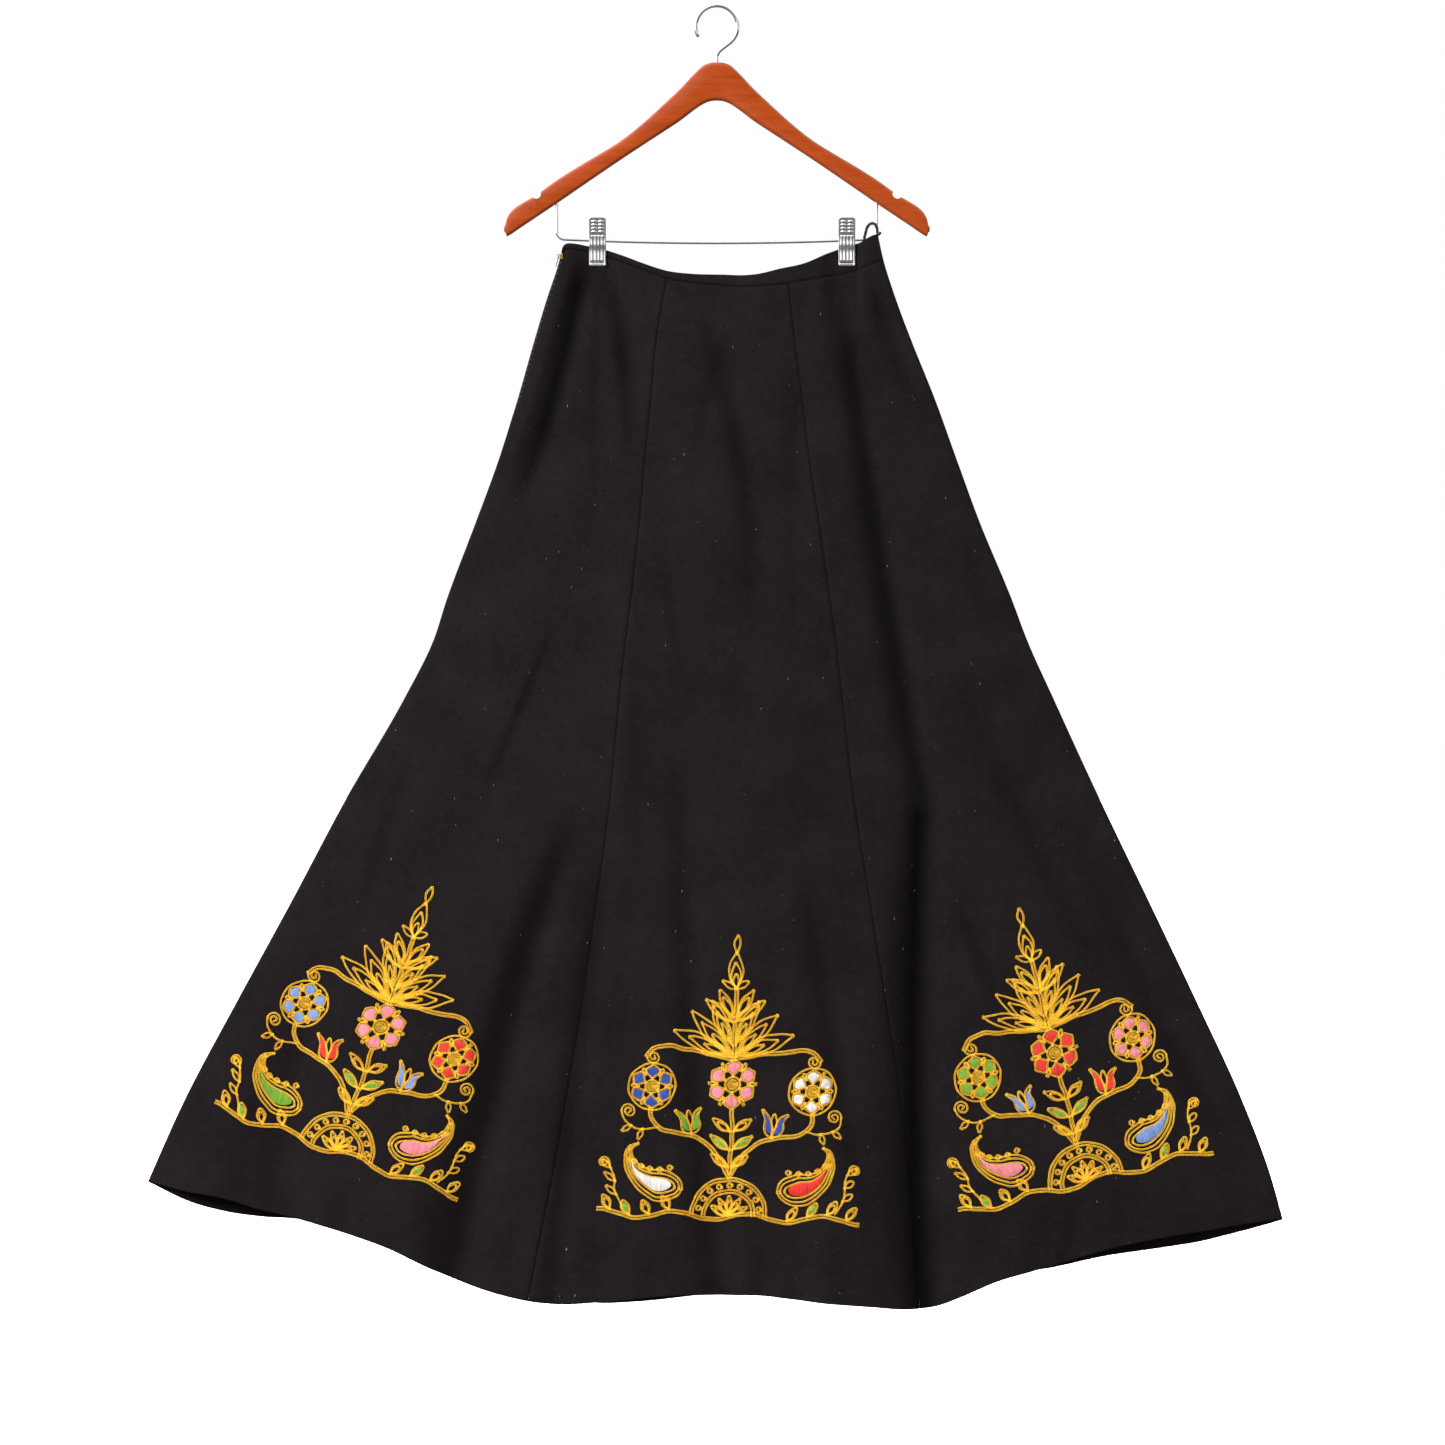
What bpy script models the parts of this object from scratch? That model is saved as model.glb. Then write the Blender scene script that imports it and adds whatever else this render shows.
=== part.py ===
# Embroidered maxi skirt, clipped to a wooden hanger by its waist, with its hem open below.
# Sizes are in millimetres and are turned into metres as each mesh is made. X runs to the
# viewer's right, the front faces -Y and +Z is up. The origin is the top of the hook's inner
# curve, where a rod carries it, and a "drop" is how far a point lies below the origin.

import math

import bmesh
import bpy
import numpy as np

MM = 0.001


def table(columns, rows):
    """Named columns of a table, each of them an array."""
    return dict(zip(columns.split(), np.array(rows, float).T))


# Cloth
WALL = 2.0  # felted wool
SEAM_GAP = 0.3  # between pieces that are sewn together
LAYER_GAP = 0.5  # between the front and the back where they lie on each other
GORE_COLUMNS = 13
GORE_ROWS = 19
BAND_ROWS = 2
ROW_BIAS = 1.4  # more rows near the clips
LENS_POWER = 2.5  # how squarely the two walls part between the side seams
CALM_EDGE = 0.1  # folds die out over this share of the half width, towards a side seam

# The side seams and the gore seams, seen from the front
SEAMS = table("drop left_side left_seam right_seam right_side", [
    (240, -160.0, -46.0, 70.5, 169.5),
    (266, -165.7, -48.5, 72.7, 175.2),
    (308, -179.4, -56.6, 77.0, 188.8),
    (350, -192.0, -63.5, 82.0, 204.6),
    (413, -209.9, -69.4, 89.8, 229.9),
    (477, -229.9, -75.6, 97.3, 253.0),
    (540, -253.0, -81.0, 107.0, 276.1),
    (624, -284.6, -90.2, 118.9, 310.9),
    (666, -298.2, -95.5, 124.7, 326.7),
    (729, -329.8, -102.4, 131.8, 355.1),
    (834, -390.8, -112.2, 143.9, 403.4),
    (939, -446.6, -125.7, 160.4, 453.9),
    (1045, -504.4, -140.4, 177.2, 504.4),
    (1150, -560.2, -158.2, 193.6, 552.8),
    (1234, -598.0, -173.1, 203.7, 584.4),
    (1276, -616.0, -181.6, 206.7, 595.9),
    (1370, -655.0, -200.3, 213.0, 621.0),
])

# The waist's top edge sags between the clips, and the band shows least at the left
WAIST = table("x top_drop seam_drop", [
    (-161.0, 248.0, 254.5),
    (-150.0, 248.8, 255.2),
    (-135.2, 251.4, 258.0),
    (-116.2, 255.6, 262.5),
    (-98.0, 262.0, 269.0),
    (-80.5, 268.7, 275.6),
    (-50.0, 278.3, 286.1),
    (-29.5, 280.8, 289.7),
    (8.7, 282.0, 293.5),
    (27.9, 282.5, 294.5),
    (43.1, 281.1, 294.0),
    (66.1, 275.6, 292.0),
    (91.6, 269.9, 287.8),
    (119.4, 258.0, 283.0),
    (127.8, 254.9, 281.5),
    (145.7, 249.3, 277.0),
    (152.0, 247.2, 274.7),
    (158.0, 243.5, 272.3),
    (163.0, 240.9, 270.2),
    (168.8, 239.0, 268.0),
    (175.0, 238.6, 265.5),
])

HEM = table("x front_drop back_drop", [
    (-597.0, 1236.1, 1237.0),
    (-555.0, 1246.7, 1258.0),
    (-520.0, 1252.5, 1268.0),
    (-482.0, 1264.6, 1274.0),
    (-447.6, 1271.8, 1276.5),
    (-391.9, 1287.6, 1287.0),
    (-348.7, 1302.4, 1301.0),
    (-290.9, 1330.0, 1327.0),
    (-230.9, 1350.8, 1350.0),
    (-175.2, 1361.5, 1362.0),
    (-121.5, 1359.7, 1367.0),
    (-35.2, 1352.4, 1361.0),
    (3.7, 1352.4, 1356.0),
    (46.8, 1352.8, 1354.0),
    (87.8, 1357.6, 1356.0),
    (161.5, 1365.0, 1362.0),
    (206.7, 1368.0, 1365.0),
    (230.9, 1364.5, 1362.0),
    (258.3, 1353.9, 1353.0),
    (294.0, 1338.5, 1339.0),
    (335.1, 1327.0, 1331.0),
    (374.0, 1316.1, 1324.0),
    (401.3, 1308.0, 1318.0),
    (450.8, 1297.1, 1310.0),
    (502.9, 1288.7, 1301.0),
    (583.3, 1276.6, 1280.0),
    (595.9, 1275.0, 1276.0),
])

# Half of the space between the front and the back, half way across
HALF_ROOM = table("drop half", [
    (240, 7.0),
    (300, 9.0),
    (420, 13.0),
    (700, 22.0),
    (1000, 30.0),
    (1370, 36.0),
])

# Folds: each follows three points, and is a trough where its depth is positive
FOLD_COLUMNS = "x0 drop0 x1 drop1 x2 drop2 width0 width2 depth0 depth1 depth2"
FRONT_FOLDS = table(FOLD_COLUMNS, [
    (-143, 268, -168, 390, -217, 540, 10, 18, 6.0, 6.0, 1.0),
    (-112, 285, -96, 380, -89, 480, 8, 10, 4.0, 4.0, 1.0),
    (-17, 319, 25, 477, 37, 666, 12, 16, 2.5, 4.0, 1.0),
    (85, 330, 83, 500, 83, 730, 12, 14, 2.0, 2.5, 1.0),
    (128, 298, 172, 592, 212, 834, 12, 18, 4.0, 7.0, 8.0),
    (212, 834, 206, 992, 216, 1420, 20, 40, 9.0, 15.0, 16.0),
    (161, 290, 180, 340, 225, 445, 9, 15, 3.0, 3.5, 1.0),
    (-159, 866, -207, 1024, -300, 1420, 14, 34, 6.0, 13.0, 14.0),
    (-122, 918, -138, 1034, -180, 1420, 12, 14, 3.0, 5.0, 5.0),
    (-38, 813, -28, 1044, 12, 1420, 14, 17, 4.0, 6.0, 11.0),
    (93, 897, 124, 1108, 160, 1290, 12, 14, 3.0, 4.5, 3.0),
    (261, 708, 352, 918, 430, 1055, 18, 24, 2.5, 4.0, 2.0),
    (403, 939, 476, 1087, 560, 1230, 20, 22, 4.0, 5.5, 3.0),
    (-96, 600, -96, 760, -100, 950, 15, 18, -3.0, -4.0, -2.0),
    (110, 1250, 113, 1320, 118, 1420, 20, 22, -3.0, -7.0, -8.0),
    (-420, 1000, -450, 1120, -490, 1420, 26, 34, 3.0, 6.0, 9.0),
])
BACK_FOLDS = table(FOLD_COLUMNS, [
    (-128, 300, -160, 560, -215, 860, 12, 20, 5.0, 7.0, 6.0),
    (-215, 860, -260, 1080, -330, 1420, 20, 40, 6.0, 13.0, 15.0),
    (132, 300, 150, 520, 175, 800, 12, 18, 4.0, 6.0, 4.0),
    (240, 820, 300, 1060, 360, 1420, 18, 38, 5.0, 11.0, 14.0),
    (10, 700, 20, 1000, 30, 1420, 18, 34, 3.0, 9.0, 13.0),
    (-110, 900, -118, 1120, -130, 1420, 14, 22, 3.0, 5.0, 8.0),
    (440, 1000, 470, 1120, 520, 1420, 20, 26, 3.0, 5.0, 6.0),
])
FOLD_START = (276, 312)  # drops between which folds begin below the clips

# Hanger
WOOD_HALF_DEPTH = 6.0
WOOD_CORNER = 4.0
WOOD_HALF = table("x top_drop low_drop", [
    (0, 57.9, 97.8),
    (7, 58.4, 98.6),
    (14, 61.0, 101.4),
    (24, 70.0, 108.0),
    (38, 85.0, 118.7),
    (55, 101.0, 130.0),
    (75, 119.4, 143.0),
    (100.8, 140.1, 160.0),
    (124.7, 155.0, 176.2),
    (148, 168.8, 192.2),
    (168.8, 182.0, 206.5),
    (192, 198.5, 222.0),
    (205.7, 206.5, 231.2),
    (213, 211.5, 236.2),
    (218.4, 217.3, 239.6),
    (221.4, 223.6, 240.2),
    (222.8, 230.0, 236.5),
])
NOTCH_X = 190.1
NOTCH_DROP = 196.6
NOTCH_RADIUS = 5.2
FIT = 0.3  # clearance of a wire in its bored hole
HOOK_WIRE = 2.0  # radius
HOOK_INNER = 20.0
HOOK_TIP_ANGLE = 205
HOOK_LAST_ANGLE = -45
SHANK_START_DROP = 52
SHANK_END_DROP = 76
BAR_WIRE = 1.5  # radius
BAR_X = 168.3
BAR_TOP_DROP = 194
BAR_CORNER = 8.0
BAR_END_DROP = 244.1
BAR_SAG = 3.7

# Clips
CLIP_X = {"left": -125.5, "right": 136.8}
CLIP_WIDTH = 17.8
CLIP_PLATE = 1.2
CLIP_PROFILE = table("y drop", [
    (-9.2, 222.0),
    (-8.2, 226.0),
    (-6.4, 233.0),
    (-4.7, 240.0),
    (-4.2, 245.5),
    (-4.0, 250.0),
    (-3.4, 256.0),
    (-3.15, 261.0),
    (-3.15, 270.5),
    (-3.4, 272.5),
])
CHEEK = 0.9
CHEEK_UP = 4.2
CHEEK_DOWN = 3.2
CHEEK_REACH = 2.8
BORE = 2.05
SPRING_OUTER = 3.1
SPRING_HALF = 6.2
GRIP_HALF = 9.3  # the walls lie flat on each other this far from a clip's middle
GRIP_END = 30.0
GRIP_DROPS = (284, 370)

# The right corner of the waist passes in front of the bar
FORWARD = 6.0
FORWARD_X = (146.5, 155.0)
FORWARD_DROPS = (262, 340)

# Side zip
ZIP_SLIT = 3.2  # the front's folded edge stands back by this
ZIP_SLIT_DROPS = (412, 430)
TAPE = 0.8
TAPE_WIDTH = 11.0
TAPE_DROPS = (266.0, 425.0)
TAPE_ROWS = 9
TAPE_ROOM = 1.15
TAPE_ROOM_X = (14, 26)
TAPE_ROOM_DROPS = (450, 500)
SLIDER_DROP = 262.0
SLIDER = (3.2, 3.3, 6.0)
SLIDER_IN = 2.6  # how far the slider reaches in from the side seam
SLIDER_Y = -0.75
BRIDGE_WIRE = 0.45
BRIDGE_REACH = 2.15
BRIDGE_HALF = 2.1
PULL_REACH = 0.85  # the pull's axis, out from the slider
PULL = (0.8, 4.0, 12.5)
PULL_RAIL = 0.5
PULL_EYE = (2.1, 3.9)
PULL_LEAN = math.radians(16)

# Hanging loop
LOOP_HALF = (1.4, 0.6)
LOOP_Y = -6.0
LOOP_PATH = [(154.9, 244.2), (156.6, 237.5), (158.2, 232.0), (160.6, 228.9), (163.6, 227.7),
             (166.4, 228.9), (168.2, 232.0), (168.9, 237.9)]


def ease(at, low, high):
    """0 below `low`, 1 above `high`, and a soft step between them."""
    t = np.clip((at - low) / (high - low), 0, 1)
    return t * t * (3 - 2 * t)


def smooth(at, places, values):
    """A smooth line through a table's rows, straight on past its ends."""
    slopes = np.gradient(values, places)
    i = np.clip(np.searchsorted(places, at) - 1, 0, len(places) - 2)
    step = places[i + 1] - places[i]
    t = np.clip((at - places[i]) / step, 0, 1)
    inside = (
        (2 * t**3 - 3 * t**2 + 1) * values[i]
        + (t**3 - 2 * t**2 + t) * step * slopes[i]
        + (3 * t**2 - 2 * t**3) * values[i + 1]
        + (t**3 - t**2) * step * slopes[i + 1]
    )
    past = at - places[i] - t * step
    return inside + past * np.where(t > 0.5, slopes[i + 1], slopes[i])


def seam_x(name, drop):
    return smooth(drop, SEAMS["drop"], SEAMS[name])


def folds(rows, x, drop):
    """How far the folds of a table push the cloth inwards."""
    push = np.zeros_like(x)
    for k in range(len(rows["x0"])):
        f = {name: column[k] for name, column in rows.items()}
        drops = np.array([f["drop0"], f["drop1"], f["drop2"]])
        bend = np.polyfit(drops, [f["x0"], f["x1"], f["x2"]], 2)
        at = np.clip(drop, drops[0], drops[2])
        width = np.interp(at, drops[[0, 2]], [f["width0"], f["width2"]])
        depth = np.interp(at, drops, [f["depth0"], f["depth1"], f["depth2"]])
        run_out = 0.2 * (drops[2] - drops[0])
        ends = ease(drop, drops[0] - run_out / 2, drops[0] + run_out)
        ends = ends * (1 - ease(drop, drops[2] - run_out, drops[2] + run_out / 2))
        push = push + depth * ends * np.exp(-((x - np.polyval(bend, at)) / width) ** 2)
    return push * ease(drop, *FOLD_START) * ease(1 - np.abs(across(x, drop)), 0, CALM_EDGE)


def across(x, drop):
    """-1 at the left side seam, 1 at the right one."""
    left, right = seam_x("left_side", drop), seam_x("right_side", drop)
    return np.clip((2 * x - left - right) / (right - left), -1, 1)


def half_room(x, drop):
    """Half of the space between the walls, before their folds."""
    room = np.interp(drop, HALF_ROOM["drop"], HALF_ROOM["half"])
    room = room * (1 - np.abs(across(x, drop)) ** LENS_POWER)
    for clip_x in CLIP_X.values():
        beside = ease(np.abs(x - clip_x), GRIP_HALF, GRIP_END)
        room = room * (1 - (1 - beside) * (1 - ease(drop, *GRIP_DROPS)))
    inside = x - seam_x("left_side", drop)
    zip_room = TAPE_ROOM * (1 - ease(inside, *TAPE_ROOM_X)) * (1 - ease(drop, *TAPE_ROOM_DROPS))
    return LAYER_GAP / 2 + room + zip_room


def layers(x, drop):
    """Y half way between the walls, and of the inner face of the front and of the back."""
    room = half_room(x, drop)
    most = 0.8 * (room - LAYER_GAP / 2)
    front, back = folds(FRONT_FOLDS, x, drop), folds(BACK_FOLDS, x, drop)
    front_own, back_own = np.minimum(front, most), np.minimum(back, most)
    middle = (front - front_own) - (back - back_own)
    middle = middle - FORWARD * ease(x, *FORWARD_X) * (1 - ease(drop, *FORWARD_DROPS))
    return middle, middle - room + front_own, middle + room - back_own


def half_gap(drop):
    return SEAM_GAP / 2


def column_x(left, right, share, drop, left_inset):
    """X at a share of the way from one seam to the next."""
    start = seam_x(left, drop) + left_inset(drop)
    end = seam_x(right, drop) - SEAM_GAP / 2
    return start + (end - start) * share


def edge_drops(line, left, right, share, left_inset):
    """Where each column of a panel meets the line that ends it."""
    drop = line(np.zeros_like(share))
    for _ in range(12):
        drop = line(column_x(left, right, share, drop, left_inset))
    return drop


def panel_grid(left, right, share, rows, top, low, left_inset):
    """X and drop of a panel's points, between two seams and two edges."""
    first = edge_drops(top, left, right, share, left_inset)
    last = edge_drops(low, left, right, share, left_inset)
    drop = first[:, None] + (last - first)[:, None] * rows[None, :]
    return column_x(left, right, share[:, None], drop, left_inset), drop


def stacked(x, y, drop):
    """Points in metres."""
    return np.stack([x, y, -drop], axis=-1) * MM


def finish_of(name, colour, roughness, metallic=0.0):
    material = bpy.data.materials.new(name)
    material.use_nodes = True
    shader = material.node_tree.nodes["Principled BSDF"]
    shader.inputs["Base Color"].default_value = (*colour, 1)
    shader.inputs["Roughness"].default_value = roughness
    shader.inputs["Metallic"].default_value = metallic
    material.diffuse_color = (*colour, 1)
    return material


def add_object(name, points, faces, material, smooth_angle=None):
    mesh = bpy.data.meshes.new(name)
    mesh.from_pydata([tuple(p) for p in points], [], [tuple(int(i) for i in f) for f in faces])
    work = bmesh.new()
    work.from_mesh(mesh)
    bmesh.ops.recalc_face_normals(work, faces=work.faces)
    work.to_mesh(mesh)
    work.free()
    if smooth_angle is not None:
        mesh.shade_smooth()
        mesh.set_sharp_from_angle(angle=math.radians(smooth_angle))
    mesh.materials.append(material)
    made = bpy.data.objects.new(name, mesh)
    bpy.context.collection.objects.link(made)
    return made


def add_shell(name, outer, inner, material):
    """A closed wall between two grids of points of the same size."""
    columns, rows = outer.shape[:2]
    index = np.arange(2 * columns * rows).reshape(2, columns, rows)
    faces = []
    for grid in index:
        for i in range(columns - 1):
            for j in range(rows - 1):
                faces.append((grid[i, j], grid[i + 1, j], grid[i + 1, j + 1], grid[i, j + 1]))
    rim = [(i, 0) for i in range(columns)]
    rim += [(columns - 1, j) for j in range(1, rows)]
    rim += [(i, rows - 1) for i in range(columns - 2, -1, -1)]
    rim += [(0, j) for j in range(rows - 2, 0, -1)]
    for a, b in zip(rim, rim[1:] + rim[:1]):
        faces.append((index[0][a], index[0][b], index[1][b], index[1][a]))
    points = np.concatenate([outer.reshape(-1, 3), inner.reshape(-1, 3)])
    return add_object(name, points, faces, material, smooth_angle=50)


def add_loft(name, rings, material, smooth_angle=40):
    """A closed solid through rings of points of the same count."""
    count, around = rings.shape[:2]
    index = np.arange(count * around).reshape(count, around)
    faces = [tuple(index[0]), tuple(index[-1])]
    for i in range(count - 1):
        for k in range(around):
            n = (k + 1) % around
            faces.append((index[i, k], index[i, n], index[i + 1, n], index[i + 1, k]))
    return add_object(name, rings.reshape(-1, 3), faces, material, smooth_angle)


def rod_rings(path, half_across, half_deep, sides, y=0.0):
    """Rings of an oval rod along a path of X and drop."""
    path = np.array(path, float)
    along = np.gradient(path, axis=0)
    along /= np.linalg.norm(along, axis=1)[:, None]
    turn = (np.arange(sides) + 0.5) * 2 * np.pi / sides
    x = path[:, :1] + half_across * along[:, 1:] * np.cos(turn)
    drop = path[:, 1:] - half_across * along[:, :1] * np.cos(turn)
    return stacked(x, y + half_deep * np.sin(turn) + 0 * x, drop)


def cylinder_rings(start, end, axis, radius, sides, centre):
    """Two rings of a cylinder along an axis; `centre` is X, Y and drop, and the axis' own is unused."""
    turn = np.arange(sides) * 2 * np.pi / sides
    others = [k for k in range(3) if k != axis]
    rings = np.zeros((2, sides, 3))
    rings[:] = centre
    for ring, at in zip(rings, (start, end)):
        ring[:, axis] = at
        ring[:, others[0]] += radius * np.cos(turn)
        ring[:, others[1]] += radius * np.sin(turn)
    return stacked(rings[..., 0], rings[..., 1], rings[..., 2])


def box_rings(x, y, drop):
    """Two rings of a box between the pairs x, y and drop."""
    rings = [[(at, y[0], drop[0]), (at, y[1], drop[0]), (at, y[1], drop[1]), (at, y[0], drop[1])]
             for at in x]
    rings = np.array(rings, float)
    return stacked(rings[..., 0], rings[..., 1], rings[..., 2])


def combine(target, tool, operation):
    """Joins a hidden tool to a solid, or cuts it out."""
    tool.hide_render = True
    tool.display_type = "WIRE"
    modifier = target.modifiers.new(tool.name, "BOOLEAN")
    modifier.operation = operation
    modifier.solver = "EXACT"
    modifier.object = tool


def make_gores(cloth):
    rows = (np.arange(GORE_ROWS + 1) / GORE_ROWS) ** ROW_BIAS
    spans = {"left": ("left_side", "left_seam"), "centre": ("left_seam", "right_seam"),
             "right": ("right_seam", "right_side")}

    def slit(drop):
        return SEAM_GAP / 2 + ZIP_SLIT * (1 - ease(drop, *ZIP_SLIT_DROPS))

    def waist_seam(x):
        return smooth(x, WAIST["x"], WAIST["seam_drop"]) + SEAM_GAP

    share = np.arange(GORE_COLUMNS + 1) / GORE_COLUMNS
    for side in ("front", "back"):

        def hem(x):
            return smooth(x, HEM["x"], HEM[side + "_drop"])

        for place, (left, right) in spans.items():
            inset = slit if (side, place) == ("front", "left") else half_gap
            x, drop = panel_grid(left, right, share, rows, waist_seam, hem, inset)
            _, front_face, back_face = layers(x, drop)
            inner = front_face if side == "front" else back_face
            outer = inner + (-WALL if side == "front" else WALL)
            add_shell(f"{side}_{place}_gore", stacked(x, outer, drop), stacked(x, inner, drop), cloth)


def make_waistband(cloth):
    x = np.repeat(WAIST["x"][:, None], BAND_ROWS + 1, axis=1)
    top, seam = WAIST["top_drop"][:, None], WAIST["seam_drop"][:, None]
    drop = top + (seam - top) * np.arange(BAND_ROWS + 1) / BAND_ROWS
    x[0] = seam_x("left_side", drop[0]) + SEAM_GAP / 2
    x[-1] = seam_x("right_side", drop[-1]) - SEAM_GAP / 2
    _, front_face, back_face = layers(x, drop)
    for side, inner, out in (("front", front_face, -WALL), ("back", back_face, WALL)):
        add_shell(f"waistband_{side}", stacked(x, inner + out, drop), stacked(x, inner, drop), cloth)


def make_zip(tape_cloth, brass):
    drop = np.tile(np.linspace(*TAPE_DROPS, TAPE_ROWS), (2, 1))
    x = seam_x("left_side", drop) + np.array([[0.5], [0.5 + TAPE_WIDTH]])
    middle = layers(x, drop)[0]
    for side, sign in (("front", -1), ("back", 1)):
        inner = middle + sign * SEAM_GAP / 2
        add_shell(f"zip_tape_{side}", stacked(x, inner + sign * TAPE, drop), stacked(x, inner, drop),
                  tape_cloth)

    inside = float(seam_x("left_side", SLIDER_DROP)) + SLIDER_IN
    face = inside - SLIDER[0]
    body = add_loft("zip_slider", box_rings(
        (face, inside),
        (SLIDER_Y - SLIDER[1] / 2, SLIDER_Y + SLIDER[1] / 2),
        (SLIDER_DROP - SLIDER[2] / 2, SLIDER_DROP + SLIDER[2] / 2),
    ), brass)
    rounding = body.modifiers.new("rounding", "BEVEL")
    rounding.width = 0.5 * MM
    rounding.segments = 2
    bridge_path = [(face + 0.6, SLIDER_DROP - BRIDGE_HALF), (face - 0.8, SLIDER_DROP - BRIDGE_HALF),
                   (face - BRIDGE_REACH + 0.3, SLIDER_DROP - BRIDGE_HALF + 0.1),
                   (face - BRIDGE_REACH, SLIDER_DROP - BRIDGE_HALF + 0.7),
                   (face - BRIDGE_REACH, SLIDER_DROP + BRIDGE_HALF - 0.7),
                   (face - BRIDGE_REACH + 0.3, SLIDER_DROP + BRIDGE_HALF - 0.1),
                   (face - 0.8, SLIDER_DROP + BRIDGE_HALF), (face + 0.6, SLIDER_DROP + BRIDGE_HALF)]
    bridge = add_loft("bridge_tool", rod_rings(bridge_path, BRIDGE_WIRE, BRIDGE_WIRE, 8, SLIDER_Y), brass)
    combine(body, bridge, "UNION")

    thick, wide, long = (value * MM for value in PULL)
    rail = PULL_RAIL * MM
    plate = add_object("zip_pull", *box_mesh((-thick / 2, thick / 2), (-wide / 2, wide / 2),
                                             (rail - long, rail)), brass)
    plate.location = (
        (face - PULL_REACH) * MM, SLIDER_Y * MM, -(SLIDER_DROP - 0.5) * MM,
    )
    plate.rotation_euler = (0, PULL_LEAN, 0)
    eye_wide, eye_long = (value * MM for value in PULL_EYE)
    eye = add_object("eye_tool", *box_mesh((-thick, thick), (-eye_wide / 2, eye_wide / 2),
                                           (-rail - eye_long, -rail)), brass)
    eye.location = plate.location
    eye.rotation_euler = plate.rotation_euler
    combine(plate, eye, "DIFFERENCE")


def box_mesh(x, y, z):
    """Points and faces of a box in metres, about its own origin."""
    points = [(a, b, c) for a in x for b in y for c in z]
    faces = [(0, 1, 3, 2), (4, 6, 7, 5), (0, 4, 5, 1), (2, 3, 7, 6), (0, 2, 6, 4), (1, 5, 7, 3)]
    return points, faces


def wood_ring(x, top_drop, low_drop):
    """A rounded upright section of the hanger's arm."""
    half = (low_drop - top_drop) / 2
    corner = min(WOOD_CORNER, 0.8 * half)
    turn = np.radians(np.arange(0, 91, 30))
    quarter = np.stack([WOOD_HALF_DEPTH - corner + corner * np.cos(turn),
                        half - corner + corner * np.sin(turn)], axis=1)
    ring = np.concatenate([quarter, (quarter * (-1, 1))[::-1], -quarter, (quarter * (1, -1))[::-1]])
    return np.column_stack([np.full(len(ring), x), ring[:, 0], (top_drop + low_drop) / 2 - ring[:, 1]])


def make_hanger(wood, steel):
    half = np.column_stack([WOOD_HALF["x"], WOOD_HALF["top_drop"], WOOD_HALF["low_drop"]])
    whole = np.concatenate([half[:0:-1] * (-1, 1, 1), half])
    rings = np.array([wood_ring(*row) for row in whole])
    arms = add_loft("hanger_wood", stacked(rings[..., 0], rings[..., 1], rings[..., 2]), wood)
    for sign, side in ((-1, "left"), (1, "right")):
        notch = add_loft(f"notch_tool_{side}", cylinder_rings(
            -2 * WOOD_HALF_DEPTH, 2 * WOOD_HALF_DEPTH, 1, NOTCH_RADIUS, 20,
            (sign * NOTCH_X, 0, NOTCH_DROP)), wood)
        combine(arms, notch, "DIFFERENCE")
        hole = add_loft(f"hole_tool_{side}", cylinder_rings(
            BAR_TOP_DROP - FIT, BAR_END_DROP, 2, BAR_WIRE + FIT, 12, (sign * BAR_X, 0, 0)), wood)
        combine(arms, hole, "DIFFERENCE")
    hole = add_loft("hole_tool_hook", cylinder_rings(
        SHANK_START_DROP - 10, SHANK_END_DROP + FIT, 2, HOOK_WIRE + FIT, 12, (0, 0, 0)), wood)
    combine(arms, hole, "DIFFERENCE")

    turn = np.radians(np.linspace(HOOK_TIP_ANGLE, HOOK_LAST_ANGLE, 17))
    bend = HOOK_INNER + HOOK_WIRE
    arc = np.stack([bend * np.cos(turn), HOOK_INNER - bend * np.sin(turn)], axis=1)
    t = np.linspace(0, 1, 7)[1:, None]
    heading = np.array([np.sin(turn[-1]), np.cos(turn[-1])]) * 20
    shank_top = np.array([0.0, SHANK_START_DROP])
    sweep = (
        (2 * t**3 - 3 * t**2 + 1) * arc[-1] + (t**3 - 2 * t**2 + t) * heading
        + (3 * t**2 - 2 * t**3) * shank_top + (t**3 - t**2) * np.array([0.0, 20.0])
    )
    path = np.concatenate([arc, sweep, [(0, (SHANK_START_DROP + SHANK_END_DROP) / 2), (0, SHANK_END_DROP)]])
    add_loft("hanger_hook", rod_rings(path, HOOK_WIRE, HOOK_WIRE, 10), steel)

    turn = np.radians(np.linspace(0, 90, 5))
    corner = np.stack([BAR_X - BAR_CORNER + BAR_CORNER * np.cos(turn),
                       BAR_END_DROP - BAR_CORNER + BAR_CORNER * np.sin(turn)], axis=1)
    span = BAR_X - BAR_CORNER
    right_half = np.concatenate([[(BAR_X, BAR_TOP_DROP), (BAR_X, 215)], corner,
                                 [(x, bar_drop(x)) for x in np.linspace(span, 0, 8)[1:]]])
    path = np.concatenate([right_half * (-1, 1), right_half[-2::-1]])
    add_loft("hanger_bar", rod_rings(path, BAR_WIRE, BAR_WIRE, 10), steel)


def bar_drop(x):
    """The bar bends a little under the skirt."""
    return BAR_END_DROP + BAR_SAG * (1 - (x / (BAR_X - BAR_CORNER)) ** 2)


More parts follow.
